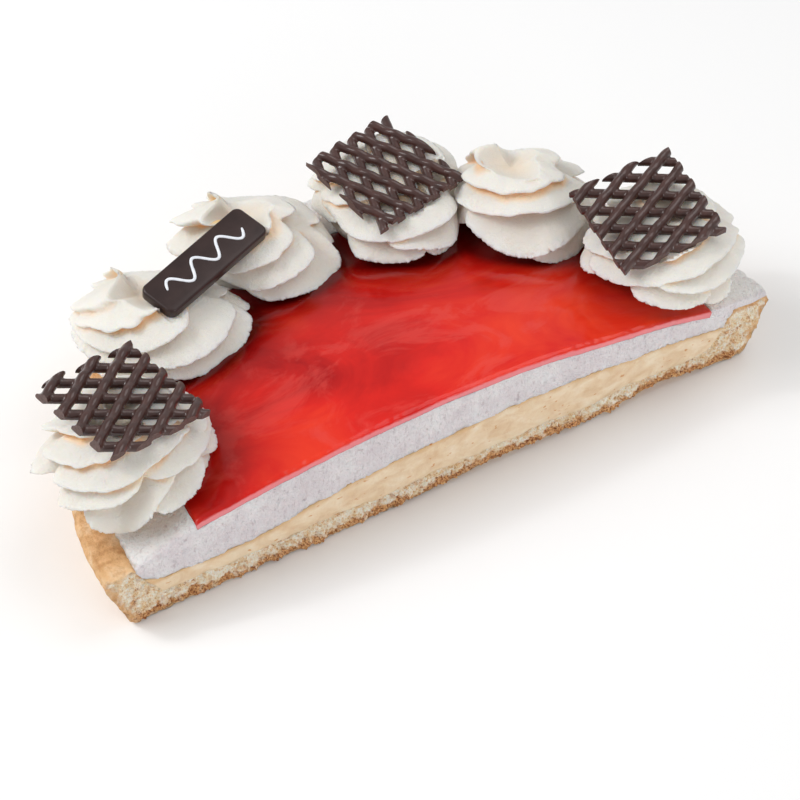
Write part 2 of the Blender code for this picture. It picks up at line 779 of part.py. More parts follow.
def main():
    for old in list(bpy.data.objects):
        bpy.data.objects.remove(old)
    dough = material("dough", (0.72, 0.46, 0.22), 0.85)
    cooked = material("custard", (0.86, 0.70, 0.42), 0.55)
    mousse = material("bavarois", (0.86, 0.80, 0.82), 0.60)
    jelly = material("glaze", (0.66, 0.03, 0.02), 0.12)
    cream = material("cream", (0.93, 0.91, 0.84), 0.55)
    chocolate = material("chocolate", (0.065, 0.030, 0.022), 0.35)
    pieces = [crust(dough), custard(cooked), bavarois(mousse), glaze(jelly)]
    ground = ground_cutter(cream)
    guides = [ground]
    rosettes = [rosette(i, cream) for i in range(len(ROSETTES))]
    for piece in rosettes:
        cut_with(piece, ground)
    for count, shape in enumerate(LATTICES, 1):
        place = plate_matrix(shape.centre, shape.normal, shape.turn)
        pieces.append(lattice(f"lattice_{count}", shape, place, chocolate))
        slab = slab_cutter(f"slab_{count}", place, LATTICE_SIDE, LATTICE_SIDE, STRAND_HEIGHT, cream)
        cut_with(rosettes[shape.rosette - 1], slab)
        guides.append(slab)
    place = plate_matrix(PLAQUE_CENTRE, PLAQUE_NORMAL, PLAQUE_TURN)
    pieces.append(plaque(place, chocolate))
    slab = slab_cutter("slab_plaque", place, PLAQUE_SIZE[0], PLAQUE_SIZE[1], 0.5 * PLAQUE_SIZE[2], cream)
    guides.append(slab)
    for carrier in (2, 3):
        cut_with(rosettes[carrier - 1], slab)
    pieces += rosettes
    holder = stand_on_origin(pieces)
    for piece in pieces + guides:
        piece.parent = holder
    bpy.context.view_layer.update()


main()
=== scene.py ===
"""Looks of the half strawberry bavarois vlaai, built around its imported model.

Every solid is replaced by a finer piece of the same form. The pieces are made about the centre of
the whole tart, which is the middle of the cut, and then moved to where the model has it.
Units are metres and +Z is up.
"""

import math
import random
from collections import namedtuple

import bmesh
import bpy
import numpy as np
from mathutils import Matrix, Vector, kdtree, noise
from mathutils.geometry import delaunay_2d_cdt


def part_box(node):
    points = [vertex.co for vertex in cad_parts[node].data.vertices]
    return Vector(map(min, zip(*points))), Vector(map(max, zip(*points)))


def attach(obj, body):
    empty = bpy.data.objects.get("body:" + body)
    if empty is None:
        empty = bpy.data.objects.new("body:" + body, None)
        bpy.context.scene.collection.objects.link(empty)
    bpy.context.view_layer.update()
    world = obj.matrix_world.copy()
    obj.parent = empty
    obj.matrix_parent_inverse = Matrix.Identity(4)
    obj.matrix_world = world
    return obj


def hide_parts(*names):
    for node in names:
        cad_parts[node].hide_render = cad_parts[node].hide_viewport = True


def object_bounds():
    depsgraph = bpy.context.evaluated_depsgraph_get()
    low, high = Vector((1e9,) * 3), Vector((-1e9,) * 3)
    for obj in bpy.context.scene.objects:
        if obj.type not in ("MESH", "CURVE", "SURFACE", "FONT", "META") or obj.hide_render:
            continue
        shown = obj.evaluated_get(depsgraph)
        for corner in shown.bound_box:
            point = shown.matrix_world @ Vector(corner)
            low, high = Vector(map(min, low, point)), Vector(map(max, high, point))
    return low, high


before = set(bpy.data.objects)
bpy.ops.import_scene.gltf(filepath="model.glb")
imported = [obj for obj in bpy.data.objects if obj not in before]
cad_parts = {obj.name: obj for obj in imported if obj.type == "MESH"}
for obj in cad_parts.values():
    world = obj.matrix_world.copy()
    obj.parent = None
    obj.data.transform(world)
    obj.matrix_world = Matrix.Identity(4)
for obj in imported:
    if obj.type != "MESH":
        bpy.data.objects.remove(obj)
CAD_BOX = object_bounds()

# Crust. A pair is the value at the left end of the cut and at its right end
RIM_RADIUS = 0.140
BASE_RADIUS = 0.1325
RIM_HEIGHT = 0.0265
RIM_INNER_RADIUS = (0.1280, 0.1228)
WALL_FOOT_RADIUS = (0.1258, 0.1187)
FLOOR_RADIUS = (0.1190, 0.1120)
FLOOR_HEIGHT = 0.0110

# Arches under the cut: middle, half width, height
ARCHES = ((0.020, 0.055, 0.0022), (0.092, 0.034, 0.0040))
CUT_DEPTH = 0.008

# Custard: highest right of the middle, and level near the crust
CUSTARD_HEIGHT = 0.0283
CUSTARD_LOW = 0.0178
CUSTARD_FALL = 0.90
CUSTARD_MIDDLE = 0.025
CUSTARD_EDGE_HEIGHT = (0.0212, 0.0203)

# Bavarois and glaze
GLAZE_RADIUS = (0.1050, 0.1118)
GLAZE_THICKNESS = 0.0034
DOME_HEIGHT = 0.0480
DOME_FALL = 1.08
DOME_TILT = 0.0145
MOUSSE_EDGE = 0.0016
MOUSSE_RADIUS = (0.1278, 0.1385)
SHOULDER_STEPS = 22

# The rim turns up over this angle, in radians, at the right end of the cut
END_RISE = 0.0024
END_ANGLE = 0.22

# Rounding of the rim: depth of its inner edge, its brow and its lip under its top
RIM_DROPS = (0.0007, 0.0006, 0.0030)
BROW_INSET = 0.0018
WALL_MIDDLE_HEIGHT = 0.0115
SOLE_HEIGHT = 0.0015
SOLE_INSET = 0.0015
RIM_STEPS = (6, 8, 8, 8, 4, 14, 12, 3)

# Depth of the golden skin at the cut from the top, the outside and the inside of the wall, and
# height of the brown bottom of the crumb
SKIN_DEPTHS = (0.0040, 0.0062, 0.0032)
BROWN_HEIGHT = 0.0052

# Unevenness. Each layer is its reach and wavelength, and a seed
CUSTARD_WAVES = ((0.0008, 0.028, 2), (0.0004, 0.0065, 6), (0.0002, 0.002, 7))
FLOOR_WAVES = ((0.0016, 0.022, 3), (0.0006, 0.005, 8), (0.0003, 0.0016, 9))
UNDERSIDE_WAVES = ((0.0009, 0.0042, 15), (0.0006, 0.0014, 16))
MOUSSE_EDGE_WAVES = ((0.0013, 0.0045, 17), (0.0009, 0.0017, 18))
CRUMB_GRAINS = ((0.0013, 0.0050, 22), (0.0007, 0.0012, 23), (0.0004, 0.0006, 24))
BAKE_GRAINS = ((0.6, 0.0045, 25), (0.6, 0.0018, 26))
CUSTARD_GRAINS = ((0.0005, 0.008, 32), (0.00012, 0.0009, 34))
MOUSSE_GRAINS = ((0.0006, 0.007, 42), (0.00022, 0.0011, 46))
SHOULDER_GRAINS = ((0.00030, 0.006, 43), (0.00018, 0.0018, 44))
GLAZE_GRAINS = ((0.00025, 0.006, 52), (0.0001, 0.0015, 55))

# Spacing of the points inside the layers, and at the cut of each
INNER_SPACING = 0.006
GLAZE_SPACING = 0.0012
CRUMB_SPACING = 0.00045
CUSTARD_CUT_SPACING = 0.0006
SMOOTH_CUT_SPACING = 0.0005

# Layers run this far into each other, so that no light passes between them
JOIN = 0.0001

# Cream rosettes from left to right. distance and bearing place the centre from the tart's centre.
# foot is the share of the radius at the bottom, and lean moves the top sideways. Each fold is the
# line of its edge: bearing in degrees and share of the height, with the camera at about -121.
# slope is how much of the fall to the back the top takes, and peaks are bearing and height
Rosette = namedtuple("Rosette", "distance bearing radius foot height lean slope peaks folds")
ROSETTES = (
    Rosette(0.1192, 161.5, 0.0335, 0.74, 0.0320, (0.000, 0.000), 0.0, (), (
        ((-232, 0.45), (-197, 0.79), (-157, 0.89), (-110, 0.95)),
        ((-200, 0.55), (-177, 0.68), (-145, 0.77), (-100, 0.88), (-50, 0.92)),
        ((-175, 0.52), (-156, 0.60), (-122, 0.65), (-89, 0.76), (-60, 0.78), (-25, 0.70)),
        ((-165, 0.34), (-143, 0.46), (-122, 0.53), (-96, 0.68)),
        ((-143, 0.30), (-127, 0.12), (-117, 0.00), (-106, 0.24), (-91, 0.50), (-67, 0.66)),
        ((-100, 0.42), (-78, 0.22), (-64, 0.30), (-44, 0.54)),
        ((-98, 0.68), (-65, 0.62), (-23, 0.52), (8, 0.45)),
        ((-50, 0.10), (-15, 0.12), (20, 0.35)),
    )),
    Rosette(0.1150, 127.5, 0.0345, 0.86, 0.0285, (-0.010, 0.003), 1.0, ((132, 0.0075), (45, 0.0045)), (
        ((-134, 0.38), (-114, 0.30), (-98, 0.12), (-75, 0.00), (-57, 0.14), (-28, 0.41)),
        ((-215, 0.24), (-185, 0.36), (-150, 0.48), (-108, 0.45), (-69, 0.50), (-28, 0.58)),
        ((-212, 0.42), (-188, 0.51), (-165, 0.58), (-127, 0.64), (-98, 0.70), (-57, 0.78)),
        ((-196, 0.52), (-172, 0.68), (-133, 0.80), (-79, 0.88), (-39, 0.86)),
        ((-220, 0.40), (-178, 0.79), (-149, 0.92), (-110, 0.97)),
        ((-245, 0.62), (-228, 0.88), (-196, 1.00), (-170, 0.98)),
        ((-220, 0.06), (-185, 0.09), (-150, 0.13), (-122, 0.18)),
    )),
    Rosette(0.1125, 100.7, 0.0360, 0.90, 0.0290, (-0.010, 0.000), 1.0, ((126, 0.0080), (22, 0.0055)), (
        ((-128, 0.40), (-114, 0.19), (-92, 0.22), (-74, 0.03), (-56, 0.00), (-40, 0.55)),
        ((-205, 0.12), (-175, 0.26), (-150, 0.36), (-120, 0.42), (-93, 0.52), (-55, 0.62)),
        ((-215, 0.30), (-193, 0.36), (-165, 0.50), (-150, 0.59), (-120, 0.67), (-85, 0.73), (-50, 0.80)),
        ((-120, 0.80), (-94, 0.85), (-62, 0.88), (-30, 0.90)),
        ((-228, 0.40), (-205, 0.64), (-171, 0.88), (-130, 0.95)),
        ((-245, 0.75), (-215, 0.95), (-191, 1.00), (-160, 0.98)),
    )),
    Rosette(0.1085, 73.0, 0.0370, 0.82, 0.0290, (0.000, 0.000), 0.0, (), (
        ((-150, 0.30), (-129, 0.22), (-113, 0.16), (-93, 0.38)),
        ((-98, 0.31), (-76, 0.00), (-64, 0.14), (-50, 0.30)),
        ((-125, 0.52), (-98, 0.42), (-79, 0.28), (-50, 0.30)),
        ((-200, 0.44), (-175, 0.53), (-134, 0.55), (-91, 0.61), (-50, 0.60)),
        ((-204, 0.46), (-187, 0.61), (-155, 0.78), (-110, 0.84), (-60, 0.84)),
        ((-233, 0.42), (-201, 0.74), (-184, 0.84), (-130, 0.93)),
    )),
    Rosette(0.1090, 44.3, 0.0335, 0.90, 0.0310, (-0.005, 0.005), 0.8, ((122, 0.0075), (20, 0.0050)), (
        (
            (-176, 0.55), (-155, 0.42), (-138, 0.28), (-122, 0.22),
            (-105, 0.35), (-84, 0.40), (-50, 0.42), (-25, 0.36),
        ),
        ((-124, 0.25), (-101, 0.03), (-84, 0.00), (-66, 0.12), (-35, 0.16), (-10, 0.22)),
        ((-208, 0.50), (-176, 0.63), (-141, 0.70), (-116, 0.74), (-73, 0.70), (-35, 0.62)),
        ((-205, 0.72), (-179, 0.79), (-125, 0.84), (-79, 0.84), (-40, 0.80)),
        ((-245, 0.55), (-221, 0.79), (-202, 0.87), (-155, 0.91), (-105, 0.90), (-77, 0.86)),
        ((-276, 0.67), (-262, 0.90), (-240, 1.00), (-201, 1.00), (-140, 0.98)),
        ((-60, 0.92), (-20, 0.98), (20, 1.00), (52, 0.97)),
    )),
    Rosette(0.1105, 14.8, 0.0340, 0.72, 0.0310, (0.000, 0.000), 0.0, (), (
        ((-150, 0.42), (-129, 0.32), (-112, 0.26), (-100, 0.32), (-85, 0.48)),
        ((-135, 0.58), (-115, 0.51), (-89, 0.48), (-53, 0.53), (-19, 0.49)),
        ((-192, 0.46), (-172, 0.43), (-143, 0.54), (-115, 0.63), (-74, 0.69), (-40, 0.67), (-15, 0.50)),
        ((-233, 0.41), (-206, 0.50), (-170, 0.66), (-132, 0.76), (-88, 0.82), (-45, 0.84)),
        ((-90, 0.12), (-77, 0.25), (-65, 0.45)),
        ((-60, 0.02), (-25, 0.05), (10, 0.30)),
    )),
)

# Folds at the back, common to all rosettes
BACK_FOLDS = (
    ((-30, 0.28), (10, 0.20), (50, 0.32)),
    ((10, 0.05), (55, 0.04), (100, 0.20), (130, 0.36)),
    ((75, 0.10), (115, 0.06), (150, 0.22), (180, 0.40)),
    ((-25, 0.58), (30, 0.52), (80, 0.62), (120, 0.72)),
    ((30, 0.36), (80, 0.40), (130, 0.56)),
    ((-40, 0.82), (20, 0.80), (75, 0.86), (130, 0.94)),
)

# Mesh of a rosette
ROSETTE_LEVELS = 104
ROSETTE_COLUMNS = 384
CROWN_LEVELS = 8

# Form of the folds, in shares of the radius and of the height, with FOLD_FADE in degrees
FOLD_DEPTH = (0.29, 0.30)
FOLD_FACE = 0.44
FOLD_LIP = 0.07
FOLD_FADE = 16

# How far folds hang down and the crown stands up, the crown's least share of the radius, and how
# softly neighbours press on each other
FOLD_DROOP = 0.0036
CROWN_RISE = 0.0040
CROWN_WIDTH = 0.33
CREAM_PRESS = 0.0025

# The tops of the rosettes fall away towards this bearing, in degrees
BACK_BEARING = 59
BACK_FALL = 0.0100
BACK_PULL = 0.40

# Rows under a fold's edge that its crease takes up, columns over which folds are smoothed all over
# and at the top, and width of a peak in degrees
CREASE_ROWS = 6
EDGE_BLUR = 15
CROWN_BLUR = 20
PEAK_WIDTH = 46

# Wavelengths of ruffles, teeth and frays along a fold, the radius at which they are measured, and
# the share of the height that teeth take up
RUFFLE_WAVE = 0.0075
TOOTH_WAVE = 0.0015
FRAY_WAVE = 0.0008
FOLD_ARC_RADIUS = 0.033
TOOTH_REACH = 0.026

# Reach and wavelength of the cream's grain, the seed of the fine one, and depth of the crown's middle
CREAM_GRAINS = ((0.00022, 0.0016), (0.00012, 0.0007))
FINE_GRAIN_SEED = 7
HUB_DEPTH = 0.0045

# Chocolate lattices on rosettes. low and top are the layers of strands: angle in degrees and shift
Lattice = namedtuple("Lattice", "rosette centre normal turn low top")
LATTICES = (
    Lattice(1, (-0.1108, 0.0403, 0.0654), (0.187, 0.008, 0.982), -76, (56, 0.0020), (121, -0.0003)),
    Lattice(4, (0.0287, 0.1023, 0.0618), (0.000, -0.154, 0.988), -168, (64, 0.0001), (113, 0.0033)),
    Lattice(6, (0.1001, 0.0311, 0.0645), (-0.169, -0.134, 0.976), -95, (59, 0.0004), (118, 0.0006)),
)
LATTICE_SIDE = 0.0427

# Strands of the lattices. The melted strands are sampled at LATTICE_VOXEL
STRAND_WIDTH = 0.0038
STRAND_HEIGHT = 0.0027
STRAND_PITCH = 0.0080
STRAND_OVERLAP = 0.0009
STRAND_SAG = 0.0006
STRAND_STEPS = 72
STRAND_SECTION = 14
LATTICE_VOXEL = 0.0004

# Chocolate plaque
PLAQUE_SIZE = (0.0530, 0.0160, 0.0042)
PLAQUE_CENTRE = (-0.0540, 0.0905, 0.0625)
PLAQUE_NORMAL = (0.010, -0.215, 0.976)
PLAQUE_TURN = 21.5
PLAQUE_CORNER = 0.0030
PLAQUE_BROW = 0.0010
PLAQUE_FOOT = 0.0003

# Wavy line on the plaque
WAVE_LENGTH = 0.0400
WAVE_REACH = 0.0034
WAVE_CYCLES = 3
WAVE_WIDTH = 0.0013
WAVE_HEIGHT = 0.0005
WAVE_STEPS = 220
WAVE_SECTION = 10

# Sampling of the round edge here and in the model, and of the cut
ARC_STEPS = 400
MODEL_STEPS = 26
CUT_STEP = 0.00045

# Colours in linear light. Those with stops are ramps: the noise's value and the colour there
WHITE = (1.0, 1.0, 1.0)
PALE_CRUMB = ((0.34, (0.78, 0.52, 0.28)), (0.44, (0.92, 0.79, 0.60)), (0.60, (0.97, 0.93, 0.84)))
TAN_CRUMB = ((0.34, (0.56, 0.26, 0.10)), (0.46, (0.82, 0.57, 0.31)), (0.62, (0.92, 0.78, 0.57)))
BROWN_CRUMB = ((0.37, (0.16, 0.032, 0.013)), (0.48, (0.58, 0.245, 0.08)), (0.62, (0.88, 0.55, 0.26)))
GOLDEN_SKIN = ((0.28, (0.66, 0.35, 0.14)), (0.50, (0.84, 0.52, 0.26)), (0.72, (0.95, 0.72, 0.47)))
SKIN_SPECKS = ((0.36, (0.78, 0.68, 0.58)), (0.54, WHITE))
FLOUR = (0.90, 0.86, 0.80)
CUSTARD_TINTS = ((0.32, (0.69, 0.475, 0.285)), (0.50, (0.77, 0.59, 0.395)), (0.68, (0.83, 0.69, 0.515)))
CUSTARD_SKIN = (0.68, 0.44, 0.23)
CUSTARD_BUBBLES = ((0.70, WHITE), (0.76, (0.80, 0.52, 0.30)))
MOUSSE_TINTS = ((0.30, (0.79, 0.715, 0.74)), (0.55, (0.87, 0.815, 0.83)), (0.75, (0.93, 0.90, 0.90)))
# Painted light: the bavarois's top is painted paler than its cut, as if more brightly lit.
MOUSSE_PAINTED_LIGHT = (0.98, 0.965, 0.95)
MOUSSE_PORES = ((0.30, (0.90, 0.87, 0.885)), (0.46, WHITE))
MOUSSE_SCRAPES = ((0.28, (0.82, 0.78, 0.79)), (0.37, WHITE))
GLAZE_REDS = ((0.36, (0.42, 0.002, 0.003)), (0.50, (0.72, 0.014, 0.008)), (0.64, (0.86, 0.050, 0.016)))
HAZE_SHARES = ((0.50, (0.0, 0.0, 0.0)), (0.60, (0.28, 0.28, 0.28)))
GLAZE_HAZE = (0.80, 0.105, 0.085)
GLAZE_SHADE = (0.13, 0.001, 0.001)
GLAZE_EDGE = (0.82, 0.24, 0.26)
CREAM_TINTS = ((0.30, (0.81, 0.785, 0.73)), (0.70, (0.86, 0.84, 0.785)))
# Painted shade of the cream: grey down each fold's face, and warm in the crease under each fold's edge.
CREAM_FOLD_SHADE = (0.62, 0.58, 0.50)
CREAM_CREASE_SHADE = (0.95, 0.59, 0.28)
CHOCOLATE_TINTS = ((0.30, (0.040, 0.015, 0.012)), (0.70, (0.074, 0.029, 0.023)))
CHOCOLATE_CUT_TINTS = ((0.30, (0.065, 0.033, 0.028)), (0.70, (0.14, 0.080, 0.068)))
PLAQUE_TINTS = ((0.30, (0.024, 0.012, 0.011)), (0.70, (0.038, 0.020, 0.018)))
ICING_TINTS = ((0.30, (0.76, 0.79, 0.85)), (0.70, (0.86, 0.88, 0.92)))

# Area lights: name, place, width and height, and power in watts
LIGHTS = (
    ("key", (-0.80, 0.45, 0.95), (0.8, 0.8), 8.6),
    ("spark", (-0.66, 0.37, 0.80), (0.08, 0.20), 1.5),
    ("overhead", (0.55, 0.0, 1.05), (0.8, 0.8), 3.0),
    ("front", (0.3, -1.1, 0.35), (0.8, 0.3), 3.6),
)
LIGHT_TARGET = (0, 0, 0.03)
SKY_STRENGTH = 0.48
FLOOR_HALF = 3.0
FLOOR_GAP = 0.0002

# Camera: bearing, height and roll of the line of sight in degrees, then metres, and millimetres for
# the lens
CAMERA_ANGLES = (-31.08, 46.38, 0.64)
CAMERA_DISTANCE = 0.7551
CAMERA_TARGET = (-0.00711, 0.02988, 0.020)
SENSOR_WIDTH = 36.0
FOCAL_LENGTH = 92.05


def limit(value):
    """The value kept between 0 and 1."""
    return min(1.0, max(0.0, value))


def smooth(t):
    """A step from 0 to 1 with level ends."""
    t = limit(t)
    return t * t * (3 - 2 * t)


def side_value(pair, angle):
    """A value between the left end's and the right end's, by the angle round the tart."""
    left, right = pair
    return left + (right - left) * 0.5 * (1 + math.cos(angle))


def wobble(x, y, wavelength, seed):
    """A smooth random value from about -1 to 1."""
    return noise.noise(Vector((x / wavelength, y / wavelength, seed * 7.3)))


def grain(point, wavelength, seed):
    """A smooth random value in space."""
    return noise.noise(point / wavelength + Vector((seed * 3.1, seed * 5.7, seed * 1.9)))


def wobbles(x, y, layers):
    """The sum of layers of unevenness on a surface."""
    return sum(reach * wobble(x, y, wavelength, seed) for reach, wavelength, seed in layers)


def grains(point, layers):
    """The sum of layers of unevenness in space."""
    return sum(reach * grain(point, wavelength, seed) for reach, wavelength, seed in layers)


def dome(x, y):
    """Height of the glaze's top."""
    waves = 0.0008 * wobble(x, y, 0.035, 1)
    return DOME_HEIGHT - DOME_FALL * (x * x + y * y) - DOME_TILT * x + waves


def custard_top(x, y):
    """Height of the custard's top inside its edge."""
    fall = CUSTARD_FALL * ((x - CUSTARD_MIDDLE) ** 2 + y * y)
    swell = max(0.0, CUSTARD_HEIGHT - CUSTARD_LOW - fall)
    return CUSTARD_LOW + swell + wobbles(x, y, CUSTARD_WAVES)


def floor_top(x, y):
    """Height of the crust's floor."""
    return FLOOR_HEIGHT + wobbles(x, y, FLOOR_WAVES)


def underside(x, y):
    """Height of the crust's underside: flat, lifted a little along the ragged cut."""
    near_cut = 1 - smooth(y / CUT_DEPTH)
    lift = 0.0011 * max(0.0, wobble(x, 0, 0.012, 4) + 0.1)
    for middle, half_width, height in ARCHES:
        lift += height * (1 - smooth(abs(x - middle) / half_width))
    return max(0.0, near_cut * (lift + wobbles(x, y, UNDERSIDE_WAVES) + 0.0004))


def rim_wave(angle, seed):
    """Unevenness along the rim."""
    return noise.noise(Vector((3.2 * math.cos(angle), 3.2 * math.sin(angle), seed)))


def rim_height(angle):
    """Height of the rim, which turns up towards the right end of the cut."""
    return RIM_HEIGHT + 0.0011 * rim_wave(angle, 11.0) + END_RISE * smooth(1 - angle / END_ANGLE)


def lip_radius(angle):
    return RIM_RADIUS + 0.0010 * rim_wave(angle, 13.0)


def glaze_radius(angle):
    return side_value(GLAZE_RADIUS, angle)


def mousse_radius(angle):
    """The bavarois spreads over the rim on the right and stops at its inside on the left."""
    left, right = MOUSSE_RADIUS
    spread = 1 - smooth((angle - math.radians(95)) / math.radians(60))
    return left + (right - left) * spread + 0.0007 * rim_wave(angle, 12.0)


def ragged_radius(angle):
    """The uneven edge of the bavarois on the dough."""
    x, y = math.cos(angle) * RIM_RADIUS, math.sin(angle) * RIM_RADIUS
    return min(mousse_radius(angle) + wobbles(x, y, MOUSSE_EDGE_WAVES), RIM_RADIUS - 0.0010)


def shoulder(radius, angle):
    """Height of the bavarois between the glaze and the rim."""
    edge = rim_height(angle) + MOUSSE_EDGE
    inner = glaze_radius(angle)
    start = dome(inner * math.cos(angle), inner * math.sin(angle))
    t = (radius - inner) / (mousse_radius(angle) - inner)
    return start + (edge - start) * limit(t) ** 0.85


def top_surface(x, y):
    """Height of what the cream is piped on."""
    radius = math.hypot(x, y)
    angle = math.atan2(max(y, 0.0), x)
    if radius <= glaze_radius(angle):
        return dome(x, y)
    return shoulder(radius, angle)


def tart_centre():
    """Where the model has the whole tart's centre, from the crust's outer edge."""
    low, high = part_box("crust")
    angles = [math.pi * i / MODEL_STEPS for i in range(MODEL_STEPS + 1)]
    right = max(lip_radius(a) * math.cos(a) for a in angles)
    back = max(lip_radius(a) * math.sin(a) for a in angles)
    return Vector((high.x - right, high.y - back, low.z))


TART = tart_centre()


def arc_angles():
    """Angles round the tart, closer together near the cut."""
    angles = []
    for i in range(ARC_STEPS + 1):
        t = i / ARC_STEPS
        angles.append(math.pi * (t - 0.10 * math.sin(2 * math.pi * t) / math.pi))
    return angles


ANGLES = arc_angles()


def ring(radius_of, height_of):
    """Points along a half circle, from the right end of the cut to the left."""
    points = []
    for angle in ANGLES:
        radius = radius_of(angle)
        x, y = radius * math.cos(angle), radius * math.sin(angle)
        if y < 1e-7:
            y = 0.0
        points.append(Vector((x, y, height_of(x, y, angle))))
    return points


def between(low, high, count):
    """Rings evenly between two rings, without either."""
    return [[a.lerp(b, i / count) for a, b in zip(low, high)] for i in range(1, count)]


def cut_line(height_of, reach):
    """Points along the cut, inside the innermost ring."""
    count = round(2 * reach / CUT_STEP)
    xs = [reach * (2 * i / count - 1) for i in range(1, count)]
    return [Vector((x, 0.0, height_of(x, 0.0))) for x in xs]


def inner_points(height_of, reach, spacing):
    """Points inside a half disc: close together near the cut, then at the given spacing."""
    points = []
    y = 0.0
    step = 1.2 * CUT_STEP
    row = 0
    while y + step < reach:
        y += step
        half = math.sqrt(reach * reach - y * y) - 0.7 * step
        count = max(2, int(2 * half / step))
        for i in range(count + row % 2):
            x = -half + 2 * half * (i + 0.5 * (1 - row % 2)) / count
            points.append(Vector((x, y, height_of(x, y))))
        step = min(spacing, step * 1.35)
        row += 1
    return points


def add_sheet(bm, edge, height_of, spacing):
    """A half disc seen from above, out to the edge ring."""
    reach = min(math.hypot(p.x, p.y) for p in edge)
    points = cut_line(height_of, reach - CUT_STEP) + inner_points(height_of, reach, spacing)
    first = len(points)
    points += edge
    edges = [(first + i, first + i + 1) for i in range(len(edge) - 1)]
    on_cut = sorted((i for i, p in enumerate(points) if p.y == 0.0), key=lambda i: points[i].x)
    edges += list(zip(on_cut, on_cut[1:]))
    flat = [Vector((p.x, p.y)) for p in points]
    made, _, faces, sources, _, _ = delaunay_2d_cdt(flat, edges, [], 1, 1e-7)
    verts = [bm.verts.new((p.x, p.y, points[s[0]].z)) for p, s in zip(made, sources)]
    for face in faces:
        bm.faces.new([verts[i] for i in face])


def add_strips(bm, rings):
    """Walls between rings of the same number of points."""
    rows = [[bm.verts.new(p) for p in points] for points in rings]
    for lower, upper in zip(rows, rows[1:]):
        for i in range(len(lower) - 1):
            bm.faces.new((lower[i], lower[i + 1], upper[i + 1], upper[i]))


def weld(bm):
    bmesh.ops.remove_doubles(bm, verts=bm.verts, dist=1e-6)


def close_cut(bm, spacing, seed):
    """Fills the open side in the plane of the cut, with points inside it for its relief."""
    border = [e for e in bm.edges if e.is_boundary]
    verts = list({v: None for e in border for v in e.verts})
    index = {v: i for i, v in enumerate(verts)}
    flat = [Vector((v.co.x, v.co.z)) for v in verts]
    edges = [(index[e.verts[0]], index[e.verts[1]]) for e in border]
    tree = kdtree.KDTree(len(flat))
    for i, p in enumerate(flat):
        tree.insert((p.x, p.y, 0.0), i)
    tree.balance()
    rng = random.Random(seed)
    low = Vector((min(p.x for p in flat), min(p.y for p in flat)))
    high = Vector((max(p.x for p in flat), max(p.y for p in flat)))
    inside = []
    for column in range(int((high.x - low.x) / spacing)):
        for row in range(int((high.y - low.y) / spacing) + 1):
            shift = Vector((rng.uniform(0.2, 0.8), rng.uniform(0.2, 0.8)))
            point = low + spacing * (Vector((column, row)) + shift)
            if tree.find((point.x, point.y, 0.0))[2] > 0.5 * spacing:
                inside.append(point)
    made, _, faces, sources, _, _ = delaunay_2d_cdt(flat + inside, edges, [], 1, 1e-8)
    placed = []
    for point, source in zip(made, sources):
        if source[0] < len(verts):
            placed.append(verts[source[0]])
        else:
            placed.append(bm.verts.new((point.x, 0.0, point.y)))
    for face in faces:
        bm.faces.new([placed[i] for i in face])
    loose = [v for v in bm.verts if not v.link_faces]
    bmesh.ops.delete(bm, geom=loose, context="VERTS")


def cut_face(bm, spacing, seed, depth_of):
    """Closes a layer at the cut, and moves the cut's points in and out as a knife leaves them."""
    weld(bm)
    close_cut(bm, spacing, seed)
    for v in bm.verts:
        if v.co.y == 0.0:
            v.co.y = 0.0006 * wobble(v.co.x, 0, 0.05, 5) + depth_of(v.co.x, v.co.z)


def finish_mesh(bm, name, looks, nodes, smooth_angle=180.0):
    """Turns the bmesh into a named piece in the model's place."""
    weld(bm)
    bmesh.ops.recalc_face_normals(bm, faces=bm.faces)
    bmesh.ops.translate(bm, verts=bm.verts, vec=TART)
    mesh = bpy.data.meshes.new(name)
    bm.to_mesh(mesh)
    bm.free()
    for look in looks:
        mesh.materials.append(look)
    mesh.shade_smooth()
    if smooth_angle < 180.0:
        mesh.set_sharp_from_angle(angle=math.radians(smooth_angle))
    made = bpy.data.objects.new(name, mesh)
    bpy.context.scene.collection.objects.link(made)
    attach(made, "root")
    if nodes:
        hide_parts(*nodes)


def new_look(name, colour, roughness):
    """A material with its shader's own values."""
    look = bpy.data.materials.new(name)
    look.use_nodes = True
    shader = look.node_tree.nodes["Principled BSDF"]
    shader.inputs["Base Color"].default_value = (*colour, 1.0)
    shader.inputs["Roughness"].default_value = roughness
    return look, shader


def new_node(look, kind):
    return look.node_tree.nodes.new("ShaderNode" + kind)


def feed(look, value, socket):
    """Gives a socket an output, a colour or a number."""
    if isinstance(value, bpy.types.NodeSocket):
        look.node_tree.links.new(value, socket)
    elif isinstance(value, tuple):
        socket.default_value = (*value, 1.0)
    else:
        socket.default_value = value


def noise_value(look, waves, detail=3.0, roughness=0.5, stretch=(1, 1, 1), distortion=0.0):
    """Noise in space: waves are per metre, and stretch is by how much they are denser each way."""
    mapping = new_node(look, "Mapping")
    mapping.inputs["Scale"].default_value = stretch
    feed(look, new_node(look, "TexCoord").outputs["Object"], mapping.inputs["Vector"])
    texture = new_node(look, "TexNoise")
    feed(look, mapping.outputs["Vector"], texture.inputs["Vector"])
    texture.inputs["Scale"].default_value = waves
    texture.inputs["Detail"].default_value = detail
    texture.inputs["Roughness"].default_value = roughness
    texture.inputs["Distortion"].default_value = distortion
    return texture.outputs["Fac"]


def mark_value(look, name):
    """What the mesh says at each point, under this name."""
    made = new_node(look, "Attribute")
    made.attribute_name = name
    return made.outputs["Fac"]


def ramp(look, value, stops):
    """Colours by value: stops are pairs of position and colour."""
    made = new_node(look, "ValToRGB")
    elements = made.color_ramp.elements
    while len(elements) < len(stops):
        elements.new(0.5)
    for element, (position, colour) in zip(elements, stops):
        element.position = position
        element.color = (*colour, 1.0)
    feed(look, value, made.inputs["Fac"])
    return made.outputs["Color"]


def rise(look, value, start, end):
    """From 0 at one value to 1 at another."""
    return ramp(look, value, ((start, (0.0, 0.0, 0.0)), (end, WHITE)))


